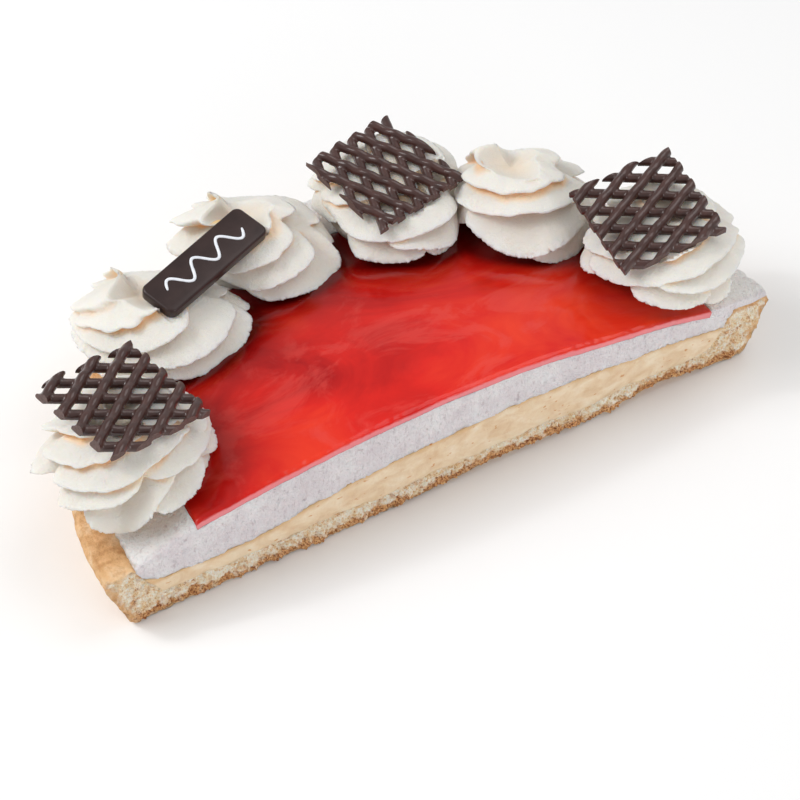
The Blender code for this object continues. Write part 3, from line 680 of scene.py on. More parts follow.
def mix(look, factor, first, second, blend="MIX"):
    """Mixes two colours, each an output or a colour."""
    made = new_node(look, "Mix")
    made.data_type = "RGBA"
    made.blend_type = blend
    for number, value in ((0, factor), (6, first), (7, second)):
        feed(look, value, made.inputs[number])
    return made.outputs[2]


def darken(look, colour, by):
    """Multiplies a colour by another."""
    return mix(look, 1.0, colour, by, "MULTIPLY")


def calculate(look, operation, first, second):
    made = new_node(look, "Math")
    made.operation = operation
    feed(look, first, made.inputs[0])
    feed(look, second, made.inputs[1])
    return made.outputs[0]


def paint(look, shader, colour, relief, depth, strength):
    """Gives a look its colour, and a fine relief of a depth in metres."""
    feed(look, colour, shader.inputs["Base Color"])
    bump = new_node(look, "Bump")
    bump.inputs["Distance"].default_value = depth
    bump.inputs["Strength"].default_value = strength
    feed(look, relief, bump.inputs["Height"])
    feed(look, bump.outputs["Normal"], shader.inputs["Normal"])


def soft_inside(shader, weight, scale, radius):
    """Light that spreads under the surface."""
    shader.inputs["Subsurface Weight"].default_value = weight
    shader.inputs["Subsurface Scale"].default_value = scale
    shader.inputs["Subsurface Radius"].default_value = radius


def dough_look():
    """Pale open crumb at the cut, browner towards the bottom, with a golden skin outside."""
    look, shader = new_look("dough", (0.7, 0.5, 0.3), roughness=0.8)
    patches = noise_value(look, waves=130, detail=4, roughness=0.6)
    blotches = noise_value(look, waves=320, detail=4, roughness=0.65)
    fine = noise_value(look, waves=1300, detail=3, roughness=0.7)
    pale = ramp(look, fine, PALE_CRUMB)
    tan = ramp(look, fine, TAN_CRUMB)
    brown = ramp(look, fine, BROWN_CRUMB)
    crumb = mix(look, rise(look, blotches, 0.44, 0.58), pale, tan)
    inside = mix(look, rise(look, mark_value(look, "bake"), 0.20, 0.62), crumb, brown)
    dusted = mix(look, mark_value(look, "flour"), ramp(look, patches, GOLDEN_SKIN), FLOUR)
    golden = darken(look, dusted, ramp(look, blotches, SKIN_SPECKS))
    colour = mix(look, mark_value(look, "skin"), inside, golden)
    paint(look, shader, colour, calculate(look, "ADD", fine, blotches), depth=0.0010, strength=0.9)
    soft_inside(shader, weight=0.22, scale=0.0015, radius=(1.0, 0.7, 0.4))
    return look


def custard_look():
    """Baked custard: pale yellow with warmer patches, bubbles and a darker skin."""
    look, shader = new_look("custard", (0.8, 0.6, 0.36), roughness=0.5)
    patches = noise_value(look, waves=110, detail=4, roughness=0.6, stretch=(1, 1, 1.6), distortion=0.6)
    bubbles = noise_value(look, waves=330, detail=1, stretch=(1, 1, 1.8))
    fine = noise_value(look, waves=1300, detail=2)
    body = mix(look, mark_value(look, "skin"), ramp(look, patches, CUSTARD_TINTS), CUSTARD_SKIN)
    colour = darken(look, body, ramp(look, bubbles, CUSTARD_BUBBLES))
    paint(look, shader, colour, fine, depth=0.0004, strength=0.6)
    soft_inside(shader, weight=0.25, scale=0.003, radius=(1.0, 0.7, 0.4))
    return look


def mousse_look():
    """Pale pink mousse with fine pores and scrapes, and painted light on its top."""
    look, shader = new_look("bavarois", (0.8, 0.74, 0.76), roughness=0.6)
    patches = noise_value(look, waves=90, detail=4, roughness=0.6)
    pores = noise_value(look, waves=900, detail=3, roughness=0.65)
    dragged = noise_value(look, waves=480, detail=2, roughness=0.55, stretch=(1, 1, 0.5))
    # Painted light: the top, away from the cut, is painted paler as if more brightly lit.
    pale = mix(look, mark_value(look, "pale"), ramp(look, patches, MOUSSE_TINTS), MOUSSE_PAINTED_LIGHT)
    speckled = darken(look, pale, ramp(look, pores, MOUSSE_PORES))
    colour = darken(look, speckled, ramp(look, dragged, MOUSSE_SCRAPES))
    relief = calculate(look, "ADD", pores, calculate(look, "MULTIPLY", dragged, 0.8))
    paint(look, shader, colour, relief, depth=0.0018, strength=1.0)
    soft_inside(shader, weight=0.3, scale=0.003, radius=(1.0, 0.7, 0.65))
    return look


def glaze_look():
    """Set red glaze: glossy, with swirls of lighter and deeper red, pink at its cut edge, and painted shade
    round the rosettes.
    """
    look, shader = new_look("glaze", (0.6, 0.02, 0.015), roughness=0.12)
    swirls = noise_value(look, waves=26, detail=5, roughness=0.6, stretch=(0.55, 1.0, 1.0), distortion=2.2)
    clouds = noise_value(look, waves=14, detail=2)
    veils = noise_value(look, waves=34, detail=5, roughness=0.65, stretch=(0.8, 1.2, 1.0), distortion=1.4)
    swirl_share = calculate(look, "MULTIPLY", swirls, 0.4)
    cloud_share = calculate(look, "MULTIPLY", clouds, 0.6)
    red = ramp(look, calculate(look, "ADD", swirl_share, cloud_share), GLAZE_REDS)
    hazy = mix(look, ramp(look, veils, HAZE_SHARES), red, GLAZE_HAZE)
    # Painted shade: the glaze is darkened round the rosettes, where their shadows fall on it.
    shaded = mix(look, mark_value(look, "painted_shade"), hazy, GLAZE_SHADE)
    colour = mix(look, mark_value(look, "edge"), shaded, GLAZE_EDGE)
    paint(look, shader, colour, noise_value(look, waves=60), depth=0.0006, strength=0.4)
    shader.inputs["Specular IOR Level"].default_value = 0.35
    feed(look, calculate(look, "MULTIPLY", swirls, 0.30), shader.inputs["Roughness"])
    soft_inside(shader, weight=0.35, scale=0.004, radius=(1.0, 0.2, 0.12))
    return look


def cream_look():
    """Whipped cream, with painted shade: greyer down the faces of its folds and warm in the creases under
    their edges.
    """
    look, shader = new_look("cream", (0.92, 0.91, 0.87), roughness=0.55)
    tint = ramp(look, noise_value(look, waves=70), CREAM_TINTS)
    # Painted shade: grey down each fold's face, warm in the crease under the fold above.
    painted_fold_shade = calculate(look, "MULTIPLY", mark_value(look, "painted_fold_shade"), 0.75)
    colour = mix(look, mark_value(look, "painted_crease_shade"), mix(look, painted_fold_shade, tint, CREAM_FOLD_SHADE), CREAM_CREASE_SHADE)
    fine = noise_value(look, waves=1300, detail=4, roughness=0.65)
    paint(look, shader, colour, fine, depth=0.0006, strength=0.8)
    soft_inside(shader, weight=0.45, scale=0.004, radius=(1.0, 0.7, 0.45))
    return look


def chocolate_looks():
    """Dark chocolate, and the paler face that a knife leaves on it."""
    look, shader = new_look("chocolate", (0.05, 0.026, 0.022), roughness=0.38)
    colour = ramp(look, noise_value(look, waves=240, roughness=0.6), CHOCOLATE_TINTS)
    paint(look, shader, colour, noise_value(look, waves=700, roughness=0.6), depth=0.0002, strength=0.4)
    shader.inputs["Specular IOR Level"].default_value = 0.25
    shader.inputs["Coat Weight"].default_value = 0.85
    shader.inputs["Coat Roughness"].default_value = 0.08
    cut, cut_shader = new_look("chocolate_cut", (0.11, 0.06, 0.05), roughness=0.6)
    rough = noise_value(cut, waves=1200, roughness=0.7)
    paint(cut, cut_shader, ramp(cut, rough, CHOCOLATE_CUT_TINTS), rough, depth=0.0003, strength=0.7)
    return look, cut


def plaque_look():
    """Smoother, darker chocolate of the plaque."""
    look, shader = new_look("plaque_chocolate", (0.03, 0.015, 0.013), roughness=0.34)
    colour = ramp(look, noise_value(look, waves=130), PLAQUE_TINTS)
    paint(look, shader, colour, noise_value(look, waves=500, roughness=0.6), depth=0.0001, strength=0.4)
    shader.inputs["Specular IOR Level"].default_value = 0.35
    return look


def icing_look():
    """White icing of the line on the plaque."""
    look, shader = new_look("icing", (0.82, 0.85, 0.90), roughness=0.45)
    feed(look, ramp(look, noise_value(look, waves=500, detail=2), ICING_TINTS), shader.inputs["Base Color"])
    soft_inside(shader, weight=0.15, scale=0.001, radius=(1.0, 1.0, 1.0))
    return look


def crust_rings():
    """The dough's profile, from the floor's edge over the rim and down the wall to the sole."""
    inner_drop, brow_drop, lip_drop = RIM_DROPS
    keys = [
        ring(lambda a: side_value(FLOOR_RADIUS, a), lambda x, y, a: floor_top(x, y)),
        ring(lambda a: side_value(WALL_FOOT_RADIUS, a), lambda x, y, a: side_value(CUSTARD_EDGE_HEIGHT, a)),
        ring(lambda a: side_value(RIM_INNER_RADIUS, a), lambda x, y, a: rim_height(a) - inner_drop),
        ring(lambda a: 0.5 * (side_value(RIM_INNER_RADIUS, a) + RIM_RADIUS), lambda x, y, a: rim_height(a)),
        ring(lambda a: lip_radius(a) - BROW_INSET, lambda x, y, a: rim_height(a) - brow_drop),
        ring(lip_radius, lambda x, y, a: rim_height(a) - lip_drop),
        ring(wall_radius, lambda x, y, a: WALL_MIDDLE_HEIGHT),
        ring(lambda a: BASE_RADIUS, lambda x, y, a: SOLE_HEIGHT),
        ring(lambda a: BASE_RADIUS - SOLE_INSET, lambda x, y, a: underside(x, y)),
    ]
    rings = [keys[0]]
    for low, high, count in zip(keys, keys[1:], RIM_STEPS):
        rings += between(low, high, count) + [high]
    for points in rings[1:-1]:
        if points[0].z > 0.004:
            for angle, p in zip(ANGLES, points):
                out = Vector((math.cos(angle), math.sin(angle), 0.6))
                p += out * (wall_wave(angle, p.z) + 0.0004 * grain(p, 0.0024, 29))
                if p.y < 1e-6:
                    p.y = 0.0
    return rings


def wall_radius(angle):
    return 0.5 * (RIM_RADIUS + BASE_RADIUS) + 0.0012 * rim_wave(angle, 14.0)


def wall_wave(angle, height):
    """Unevenness round the wall and over the rim."""
    x, y = math.cos(angle) * 0.13, math.sin(angle) * 0.13
    return 0.00045 * noise.noise(Vector((x / 0.006, y / 0.006, height / 0.006 + 2.0)))


def cut_skin(point, rough):
    """How much of the golden skin shows at a point of the cut: only at the outside of the two walls."""
    end = 0.0 if point.x > 0 else math.pi
    side = abs(point.x)
    inner = side_value(RIM_INNER_RADIUS, end)
    if side <= inner - 0.003:
        return 0.0
    foot = side_value(WALL_FOOT_RADIUS, end)
    outer = BASE_RADIUS + (RIM_RADIUS - BASE_RADIUS) * point.z / RIM_HEIGHT
    share = (point.z - CUSTARD_EDGE_HEIGHT[0]) / (RIM_HEIGHT - CUSTARD_EDGE_HEIGHT[0])
    top, outside, inside = SKIN_DEPTHS
    from_inside = (side - foot - share * (inner - foot)) / inside if share > 0 else 1.0
    nearest = min((RIM_HEIGHT - point.z) / top, (outer - side) / outside, from_inside)
    return limit(1.1 - 2.0 * nearest + 1.2 * rough)


def mark_baking(bm):
    """Marks the golden skin, the brown crumb near the bottom of the cut, and flour on the wall."""
    bake = bm.verts.layers.float.new("bake")
    skin = bm.verts.layers.float.new("skin")
    flour = bm.verts.layers.float.new("flour")
    on_cut = {v for face in bm.faces if abs(face.normal.y) > 0.6 for v in face.verts if v.co.y < 0.004}
    for v in bm.verts:
        rough = grains(v.co, BAKE_GRAINS)
        if v in on_cut:
            from_below = (v.co.z - underside(v.co.x, 0.0)) / BROWN_HEIGHT
            v[bake] = limit(1.05 - min(1.0, from_below) + 0.9 * rough)
            v[skin] = cut_skin(v.co, rough)
        else:
            near_cut = max(0.0, 0.7 - v.co.y / 0.004)
            v[skin] = limit(1.0 - 1.2 * near_cut * (0.4 + rough))
            on_wall = smooth((math.hypot(v.co.x, v.co.y) - 0.1345) / 0.0015)
            below_rim = smooth((0.0225 - v.co.z) / 0.004)
            dusting = limit(0.35 + 1.1 * grain(v.co, 0.013, 28) + 0.5 * rough)
            v[flour] = 0.6 * on_wall * below_rim * dusting


def crumb_depth(x, z):
    """How far the open crumb lies behind the plane of the cut."""
    point = Vector((x, 0.0, z))
    near, far = noise.voronoi(point / 0.0019)[0][:2]
    lumps = 0.0015 * min(0.55, far - near)
    hole = noise.voronoi(point / 0.0032 + Vector((9, 0, 0)))[0][0]
    pits = max(0.0, 0.34 - hole) * 0.0048
    return grains(point, CRUMB_GRAINS) + pits - lumps + 0.0008


def crust(look):
    """The dough, with an open crumb where the knife went."""
    bm = bmesh.new()
    rings = crust_rings()
    add_sheet(bm, rings[0], floor_top, INNER_SPACING)
    add_strips(bm, rings)
    add_sheet(bm, rings[-1], underside, 0.004)
    cut_face(bm, CRUMB_SPACING, seed=21, depth_of=crumb_depth)
    mark_baking(bm)
    finish_mesh(bm, "crust_baked", [look], ["crust"])


def custard_depth(x, z):
    """How the knife dragged over the custard."""
    drag = 0.0003 * grain(Vector((x * 0.4, 0, z)), 0.0016, 33)
    return grains(Vector((x, 0.0, z)), CUSTARD_GRAINS) + drag - 0.0002


def foot_radius(angle):
    """Where the custard's edge meets the crust's wall."""
    return side_value(WALL_FOOT_RADIUS, angle) + JOIN


def custard(look):
    """The baked custard on the crust's floor."""
    bm = bmesh.new()
    low = ring(lambda a: side_value(FLOOR_RADIUS, a) + JOIN, lambda x, y, a: floor_top(x, y) - JOIN)
    high = ring(foot_radius, lambda x, y, a: side_value(CUSTARD_EDGE_HEIGHT, a))
    add_sheet(bm, low, lambda x, y: floor_top(x, y) - JOIN, INNER_SPACING)
    add_strips(bm, [low] + between(low, high, 12) + [high])
    add_sheet(bm, high, custard_top, INNER_SPACING)
    cut_face(bm, CUSTARD_CUT_SPACING, seed=31, depth_of=custard_depth)
    layer = bm.verts.layers.float.new("skin")
    for v in bm.verts:
        depth = custard_top(v.co.x, max(0.0, v.co.y)) - v.co.z
        v[layer] = smooth(1.0 - depth / 0.0022 + 0.5 * grain(v.co, 0.006, 35))
    finish_mesh(bm, "custard_baked", [look], ["custard"])


def bed(x, y):
    """Height of the bavarois under the glaze."""
    return dome(x, y) - GLAZE_THICKNESS + JOIN


def over_custard(x, y):
    """Height of the bavarois's underside."""
    return custard_top(x, y) - JOIN


def mousse_depth(x, z):
    """Pores of the bavarois, and how the knife dragged over it."""
    point = Vector((x, 0.0, z))
    pits = max(0.0, 0.26 - noise.voronoi(point / 0.0021)[0][0]) * 0.0036
    drag = 0.00030 * grain(Vector((x, 0, z * 0.35)), 0.0016, 45)
    return grains(point, MOUSSE_GRAINS) + drag + pits


def shoulder_rings():
    """Rings of the bavarois from its edge on the dough up to the glaze."""
    rings = []
    for i in range(SHOULDER_STEPS + 1):
        share = 0.985 * (1 - i / SHOULDER_STEPS)
        rings.append(ring(
            lambda a, s=share: glaze_radius(a) + s * (ragged_radius(a) - glaze_radius(a)),
            lambda x, y, a: shoulder(math.hypot(x, y), a),
        ))
    for points in rings:
        for p in points:
            p.z += grains(p, SHOULDER_GRAINS)
            p.z -= 0.0006 * (1 - min(1.0, p.y / 0.0032)) ** 2
    return rings


def bavarois(look):
    """The bavarois: over the custard and the rim, with a bed for the glaze."""
    bm = bmesh.new()
    low = ring(foot_radius, lambda x, y, a: side_value(CUSTARD_EDGE_HEIGHT, a) - JOIN)
    climb = ring(lambda a: side_value(RIM_INNER_RADIUS, a) + JOIN, lambda x, y, a: rim_height(a) - 0.0010)
    edge_low = ring(ragged_radius, lambda x, y, a: rim_height(a) - 0.0006)
    edge_high = ring(ragged_radius, lambda x, y, a: rim_height(a) + MOUSSE_EDGE - 0.0008)
    wall = ring(lambda a: glaze_radius(a) - 0.0004, lambda x, y, a: bed(x, y))
    under = [low] + between(low, climb, 6) + [climb] + between(climb, edge_low, 6) + [edge_low]
    over = shoulder_rings()
    edge = between(edge_low, edge_high, 2) + [edge_high]
    add_sheet(bm, low, over_custard, INNER_SPACING)
    add_strips(bm, under + edge + over + between(over[-1], wall, 4) + [wall])
    add_sheet(bm, wall, bed, INNER_SPACING)
    cut_face(bm, SMOOTH_CUT_SPACING, seed=41, depth_of=mousse_depth)
    # Painted light: marks the top, away from the cut, to be painted paler.
    layer = bm.verts.layers.float.new("pale")
    for v in bm.verts:
        v[layer] = smooth(v.co.y / 0.0030 + 0.4 * grain(v.co, 0.004, 47))
    finish_mesh(bm, "bavarois_set", [look], ["bavarois"])


def glaze_under(x, y):
    return dome(x, y) - GLAZE_THICKNESS


def glaze_over(x, y):
    """Height of the glaze's top with its ripples, and with a bead and a soft edge along the cut."""
    ripples = 0.00016 * wobble(x, y, 0.009, 53) + 0.0003 * wobble(0.5 * x, y, 0.020, 54)
    near_cut = 0.0005 * (1 - smooth(y / 0.0012))
    bead = 0.00030 * (1 - smooth(y / 0.004)) * wobble(x, y, 0.0024, 56)
    return dome(x, y) + ripples + bead - near_cut


def glaze_depth(x, z):
    """How the knife dragged over the glaze."""
    return grains(Vector((x, 0.0, z)), GLAZE_GRAINS) - 0.0001


def glaze(look):
    """The set glaze in its bed, with a rounded edge."""
    bm = bmesh.new()
    low = ring(lambda a: glaze_radius(a) - 0.0006, lambda x, y, a: glaze_under(x, y))
    high = ring(lambda a: glaze_radius(a) + JOIN, lambda x, y, a: dome(x, y) - 0.0010)
    brow = ring(lambda a: glaze_radius(a) - 0.0003, lambda x, y, a: glaze_over(x, y) - 0.0003)
    flat = ring(lambda a: glaze_radius(a) - 0.0012, lambda x, y, a: glaze_over(x, y))
    add_sheet(bm, low, glaze_under, INNER_SPACING)
    add_strips(bm, [low] + between(low, high, 4) + [high, brow, flat])
    add_sheet(bm, flat, glaze_over, GLAZE_SPACING)
    cut_face(bm, SMOOTH_CUT_SPACING, seed=51, depth_of=glaze_depth)
    mark_glaze(bm)
    finish_mesh(bm, "glaze_set", [look], ["glaze"])


def mark_glaze(bm):
    """Marks the pink edge at the cut, and painted shade round the rosettes, stronger towards the back."""
    edge = bm.verts.layers.float.new("edge")
    painted_shade = bm.verts.layers.float.new("painted_shade")
    feet = [(rosette_centre(shape), 0.9 * shape.radius) for shape in ROSETTES]
    for v in bm.verts:
        if v.co.y < 0.0012:
            v[edge] = 0.9 * smooth((glaze_over(v.co.x, max(0.0, v.co.y)) - v.co.z) / 0.0009)
        # Painted shade of the rosettes on the glaze: darker near their feet, and stronger towards the back.
        nearest = max(0.0, min((v.co.xy - centre).length - foot for centre, foot in feet))
        strength = 0.25 + 0.75 * smooth((v.co.y - 0.02) / 0.05)
        v[painted_shade] = min(1.0, strength * math.exp(-nearest / 0.013) + 0.20 * math.exp(-nearest / 0.025))


def rosette_centre(shape):
    angle = math.radians(shape.bearing)
    return Vector((shape.distance * math.cos(angle), shape.distance * math.sin(angle)))


def neighbour_walls(index):
    """Direction and distance of the planes halfway to the rosettes on each side."""
    here = rosette_centre(ROSETTES[index])
    walls = []
    for other in (index - 1, index + 1):
        if 0 <= other < len(ROSETTES):
            away = rosette_centre(ROSETTES[other]) - here
            walls.append((away.normalized(), 0.5 * away.length))
    return walls


def pressed(radius, directions, walls):
    """Radii, flattened smoothly where a neighbour presses on the cream."""
    for normal, distance in walls:
        facing = directions @ np.array(normal)
        wall = distance / np.maximum(facing, 0.05)
        soft = np.exp(-radius / CREAM_PRESS) + np.exp(-wall / CREAM_PRESS)
        radius = np.where(facing > 0.05, -CREAM_PRESS * np.log(soft), radius)
    return radius


def envelope(shares, foot):
    """Part of the full radius at each share of the height: a full dome, pinched at its foot."""
    shares = np.clip(shares, 0, 1)
    full = np.maximum(0.0, 1 - shares**3.4) ** 0.7
    pinch = 1 - (1 - foot) * (1 - np.minimum(1, shares / 0.4)) ** 2
    return np.maximum(CROWN_WIDTH, full * pinch)


def noise_line(lengths, wavelength, seed):
    """Smooth random values along a line."""
    return np.array([noise.noise(Vector((length / wavelength, seed, 0.5 * seed))) for length in lengths])


def blurred(values, half):
    """Values round a circle, smoothed over a number of columns on each side."""
    window = np.hanning(2 * half + 3)[1:-1]
    padded = np.concatenate((values[-half:], values, values[:half]))
    return np.convolve(padded, window / window.sum(), "valid")


def fold_edge(fold, bearings, height, seed):
    """For each bearing: share of the height of a fold's edge, how far the fold stands out, and teeth."""
    knots = [bearing for bearing, _ in fold]
    shares = [share for _, share in fold]
    middle = 0.5 * (knots[0] + knots[-1])
    local = (bearings - middle + 180) % 360 - 180 + middle
    edge = blurred(np.interp(local, knots, shares), EDGE_BLUR)
    start = np.clip((local - knots[0] + FOLD_FADE) / (1.6 * FOLD_FADE), 0, 1)
    end = np.clip((knots[-1] + FOLD_FADE - local) / (1.6 * FOLD_FADE), 0, 1)
    stand = np.minimum(start, end)
    stand = stand * stand * (3 - 2 * stand)
    lengths = np.radians(local) * FOLD_ARC_RADIUS
    ruffle = noise_line(lengths, RUFFLE_WAVE, seed)
    tooth = noise_line(lengths, TOOTH_WAVE, seed + 3.3)
    fray = noise_line(lengths, FRAY_WAVE, seed + 6.1)
    edge = edge + (FOLD_DROOP + 0.0007 * ruffle) / height
    worn = 0.25 + 0.75 * np.clip((0.78 - edge) / 0.2, 0, 1)
    return edge, stand * (1 + 0.03 * ruffle), (0.75 * tooth + 0.35 * fray) * worn


def fold_relief(index, bearings, shares):
    """How far the folds reach, from 0 in the deepest crease to 1 at an edge."""
    shape = ROSETTES[index]
    rng = random.Random(100 + index)
    swing = rng.uniform(-8, 8)
    back = [tuple((bearing + swing, share) for bearing, share in fold) for fold in BACK_FOLDS]
    relief = np.zeros((len(shares), len(bearings)))
    for number, fold in enumerate(list(shape.folds) + back):
        edge, stand, teeth = fold_edge(fold, bearings, shape.height, index * 20.0 + number * 1.7)
        away = shares[:, None] - edge[None, :]
        near = np.exp(-((away / TOOTH_REACH) ** 2)) * teeth[None, :]
        away = away - 0.034 * near
        face = np.clip(1 - away / FOLD_FACE, 0, 1) ** 1.7
        lip = np.clip(1 + away / FOLD_LIP, 0, 1) ** 0.8
        reach = np.where(away >= 0, face, lip) * stand[None, :] * (1 + 0.09 * near)
        relief = np.maximum(relief, reach)
    return relief


def round_off(relief, shares):
    """Smooths the folds sideways, more and more towards the top."""
    for row, share in enumerate(shares):
        half = int(CROWN_BLUR * share**4)
        if half:
            relief[row] = blurred(relief[row], half)
    return relief


def crease_strength(relief):
    """How deep each point lies under the edge of the fold above it, from 0 to 1."""
    above = relief.copy()
    for shift in range(1, CREASE_ROWS + 1):
        above[:-shift] = np.maximum(above[:-shift], relief[shift:])
    return np.clip((above - relief) / 0.36, 0, 1)


def settle(points, plates):
    """Presses the cream down to what lies on it."""
    for plate_point, plate_normal, inverse, half in plates:
        turn = np.array(inverse.to_3x3())
        local = points @ turn.T + np.array(inverse.translation)
        inside = (np.abs(local[:, 0]) < half[0] + 0.001) & (np.abs(local[:, 1]) < half[1] + 0.001)
        over = (points - np.array(plate_point)) @ np.array(plate_normal) - half[2]
        depth = np.where(inside, np.maximum(over, 0), 0)
        points = points - depth[:, None] * np.array(plate_normal)
    return points


def cream_reach(index, directions, fall, shares, relief):
    """How far the cream reaches from its axis, at each height and bearing."""
    shape = ROSETTES[index]
    level = shares[:, None] - FOLD_DROOP * relief / shape.height
    depth = FOLD_DEPTH[0] + FOLD_DEPTH[1] * shares[:, None] ** 3
    reach = shape.radius * envelope(level, shape.foot) * (1 - depth * (1 - relief))
    reach = reach * (1 - BACK_PULL * shares[:, None] * fall)
    walls = neighbour_walls(index)
    return np.stack([pressed(row, directions, walls) for row in reach])


def peak_heights(shape, bearings):
    """How much higher the top is at each bearing."""
    peak = np.zeros(ROSETTE_COLUMNS)
    for bearing, height in shape.peaks:
        apart = (bearings - bearing + 180) % 360 - 180
        peak += height * np.exp(-((apart / PEAK_WIDTH) ** 2))
    return peak


def cream_rows(index, bearings, shares, relief):
    """Points of the cream, row by row from the foot to the crown."""
    shape = ROSETTES[index]
    centre = rosette_centre(shape)
    base = top_surface(centre.x, centre.y)
    angles = np.radians(bearings)
    directions = np.stack((np.cos(angles), np.sin(angles)), axis=1)
    fall = shape.slope * np.maximum(0.0, np.cos(angles - math.radians(BACK_BEARING)))
    reach = cream_reach(index, directions, fall, shares, relief)
    peak = peak_heights(shape, bearings)
    coarse, fine = CREAM_GRAINS
    points = []
    for row, share in enumerate(shares):
        for column in range(ROSETTE_COLUMNS):
            crest = relief[row, column]
            out = directions[column]
            x = centre.x + out[0] * reach[row, column] + shape.lean[0] * share * share
            y = centre.y + out[1] * reach[row, column] + shape.lean[1] * share * share
            floor_z = top_surface(x, y)
            under = (1 - share) ** 2
            z = under * floor_z + (1 - under) * base + shape.height * share
            z += CROWN_RISE * crest * share**6 - FOLD_DROOP * crest + peak[column] * share**3
            z -= BACK_FALL * share * share * fall[column]
            point = Vector((x, y, z))
            push = grains(point, ((*coarse, index), (*fine, FINE_GRAIN_SEED)))
            push *= 0.30 + 0.70 * crest
            points.append((x + out[0] * push, y + out[1] * push, max(z + 0.6 * push, floor_z - 0.0003)))
    return points


def rosette(index, look, plates):
    """Cream in spiral folds with ragged edges, flattened under the chocolate that lies on it."""
    bearings = np.arange(ROSETTE_COLUMNS) * 360.0 / ROSETTE_COLUMNS - 180.0
    shares = np.linspace(0, 1, ROSETTE_LEVELS + 1)
    relief = round_off(fold_relief(index, bearings, shares), shares)
    points = cream_rows(index, bearings, shares, relief)
    # Painted shade for the cream's look: warm in each crease under a fold's edge, and grey away from the
    # edges.
    painted_crease_shades = list(crease_strength(relief).flat)
    painted_fold_shades = list((1 - relief).flat)
    crown = np.array(points[-ROSETTE_COLUMNS:])
    hub = crown.mean(axis=0) - np.array((0, 0, HUB_DEPTH))
    for step in range(1, CROWN_LEVELS):
        share = 1 - step / CROWN_LEVELS
        crown = sum(np.roll(crown, shift, axis=0) for shift in range(-6, 7)) / 13
        ring_points = hub + (crown - hub) * np.array((share, share, share**1.4))
        points += [tuple(p) for p in ring_points]
        # The painted shade rises towards the crown's middle.
        painted_crease_shades += [0.3 * (1 - share)] * ROSETTE_COLUMNS
        painted_fold_shades += [0.4] * ROSETTE_COLUMNS
    points = settle(np.array(points), plates)
    rosette_mesh(index, look, points, painted_crease_shades, painted_fold_shades)


def rosette_mesh(index, look, points, painted_crease_shades, painted_fold_shades):
    """A closed mesh from rows of points, with a hub at each end."""
    count = ROSETTE_COLUMNS
    rows = len(points) // count
    hubs = np.stack((points[:count].mean(axis=0), points[-count:].mean(axis=0)))
    vertices = np.concatenate((points, hubs))
    faces = []
    for row in range(rows - 1):
        for i in range(count):
            j = (i + 1) % count
            a, b = row * count, (row + 1) * count
            faces.append((a + i, a + j, b + j, b + i))
    last = (rows - 1) * count
    for i in range(count):
        j = (i + 1) % count
        faces.append((j, i, len(points)))
        faces.append((last + i, last + j, len(points) + 1))
    name = f"rosette_{index + 1}_cream"
    mesh = bpy.data.meshes.new(name)
    mesh.from_pydata(vertices.tolist(), [], faces)
    # Painted shade for the cream's look, with values for the two hubs.
    for layer_name, values in (("painted_crease_shade", painted_crease_shades), ("painted_fold_shade", painted_fold_shades)):
        layer = mesh.attributes.new(layer_name, "FLOAT", "POINT")
        layer.data.foreach_set("value", list(values) + [0.0, 0.3])
    bm = bmesh.new()
    bm.from_mesh(mesh)
    bpy.data.meshes.remove(mesh)
    finish_mesh(bm, name, [look], [f"rosette_{index + 1}"])


def plate_matrix(centre, normal, turn):
    """Placement of a flat piece: its local Z along normal, then turned about it."""
    up = Vector(normal).normalized()
    tilt = Vector((0, 0, 1)).rotation_difference(up).to_matrix().to_4x4()
    return Matrix.Translation(centre) @ tilt @ Matrix.Rotation(math.radians(turn), 4, "Z")


def pressing_plate(place, size, under):
    """What a rosette needs to know of the flat piece on it: plane, inverse placement, half sizes."""
    normal = (place.to_3x3() @ Vector((0, 0, 1))).normalized()
    return place.translation, normal, place.inverted(), (0.5 * size[0], 0.5 * size[1], under)


def strand_lines(degrees, shift):
    """Start and end of the strands of one layer that cross the square."""
    angle = math.radians(degrees)
    along = Vector((math.cos(angle), math.sin(angle), 0.0))
    side = Vector((-along.y, along.x, 0.0))
    half = 0.5 * LATTICE_SIDE
    reach = half * (abs(side.x) + abs(side.y))
    count = math.ceil(reach / STRAND_PITCH)
    offsets = [shift + i * STRAND_PITCH for i in range(-count, count + 1)]
    middles = [side * offset for offset in offsets if abs(offset) < reach - 0.5 * STRAND_WIDTH]
    return [(m - along * 0.75 * LATTICE_SIDE, m + along * 0.75 * LATTICE_SIDE) for m in middles]


def add_tube(bm, rings):
    """A closed skin over rings of points."""
    rows = [[bm.verts.new(p) for p in points] for points in rings]
    for near, far in zip(rows, rows[1:]):
        for k in range(len(near)):
            j = (k + 1) % len(near)
            bm.faces.new((near[k], near[j], far[j], far[k]))
    bm.faces.new(rows[0])
    bm.faces.new(reversed(rows[-1]))


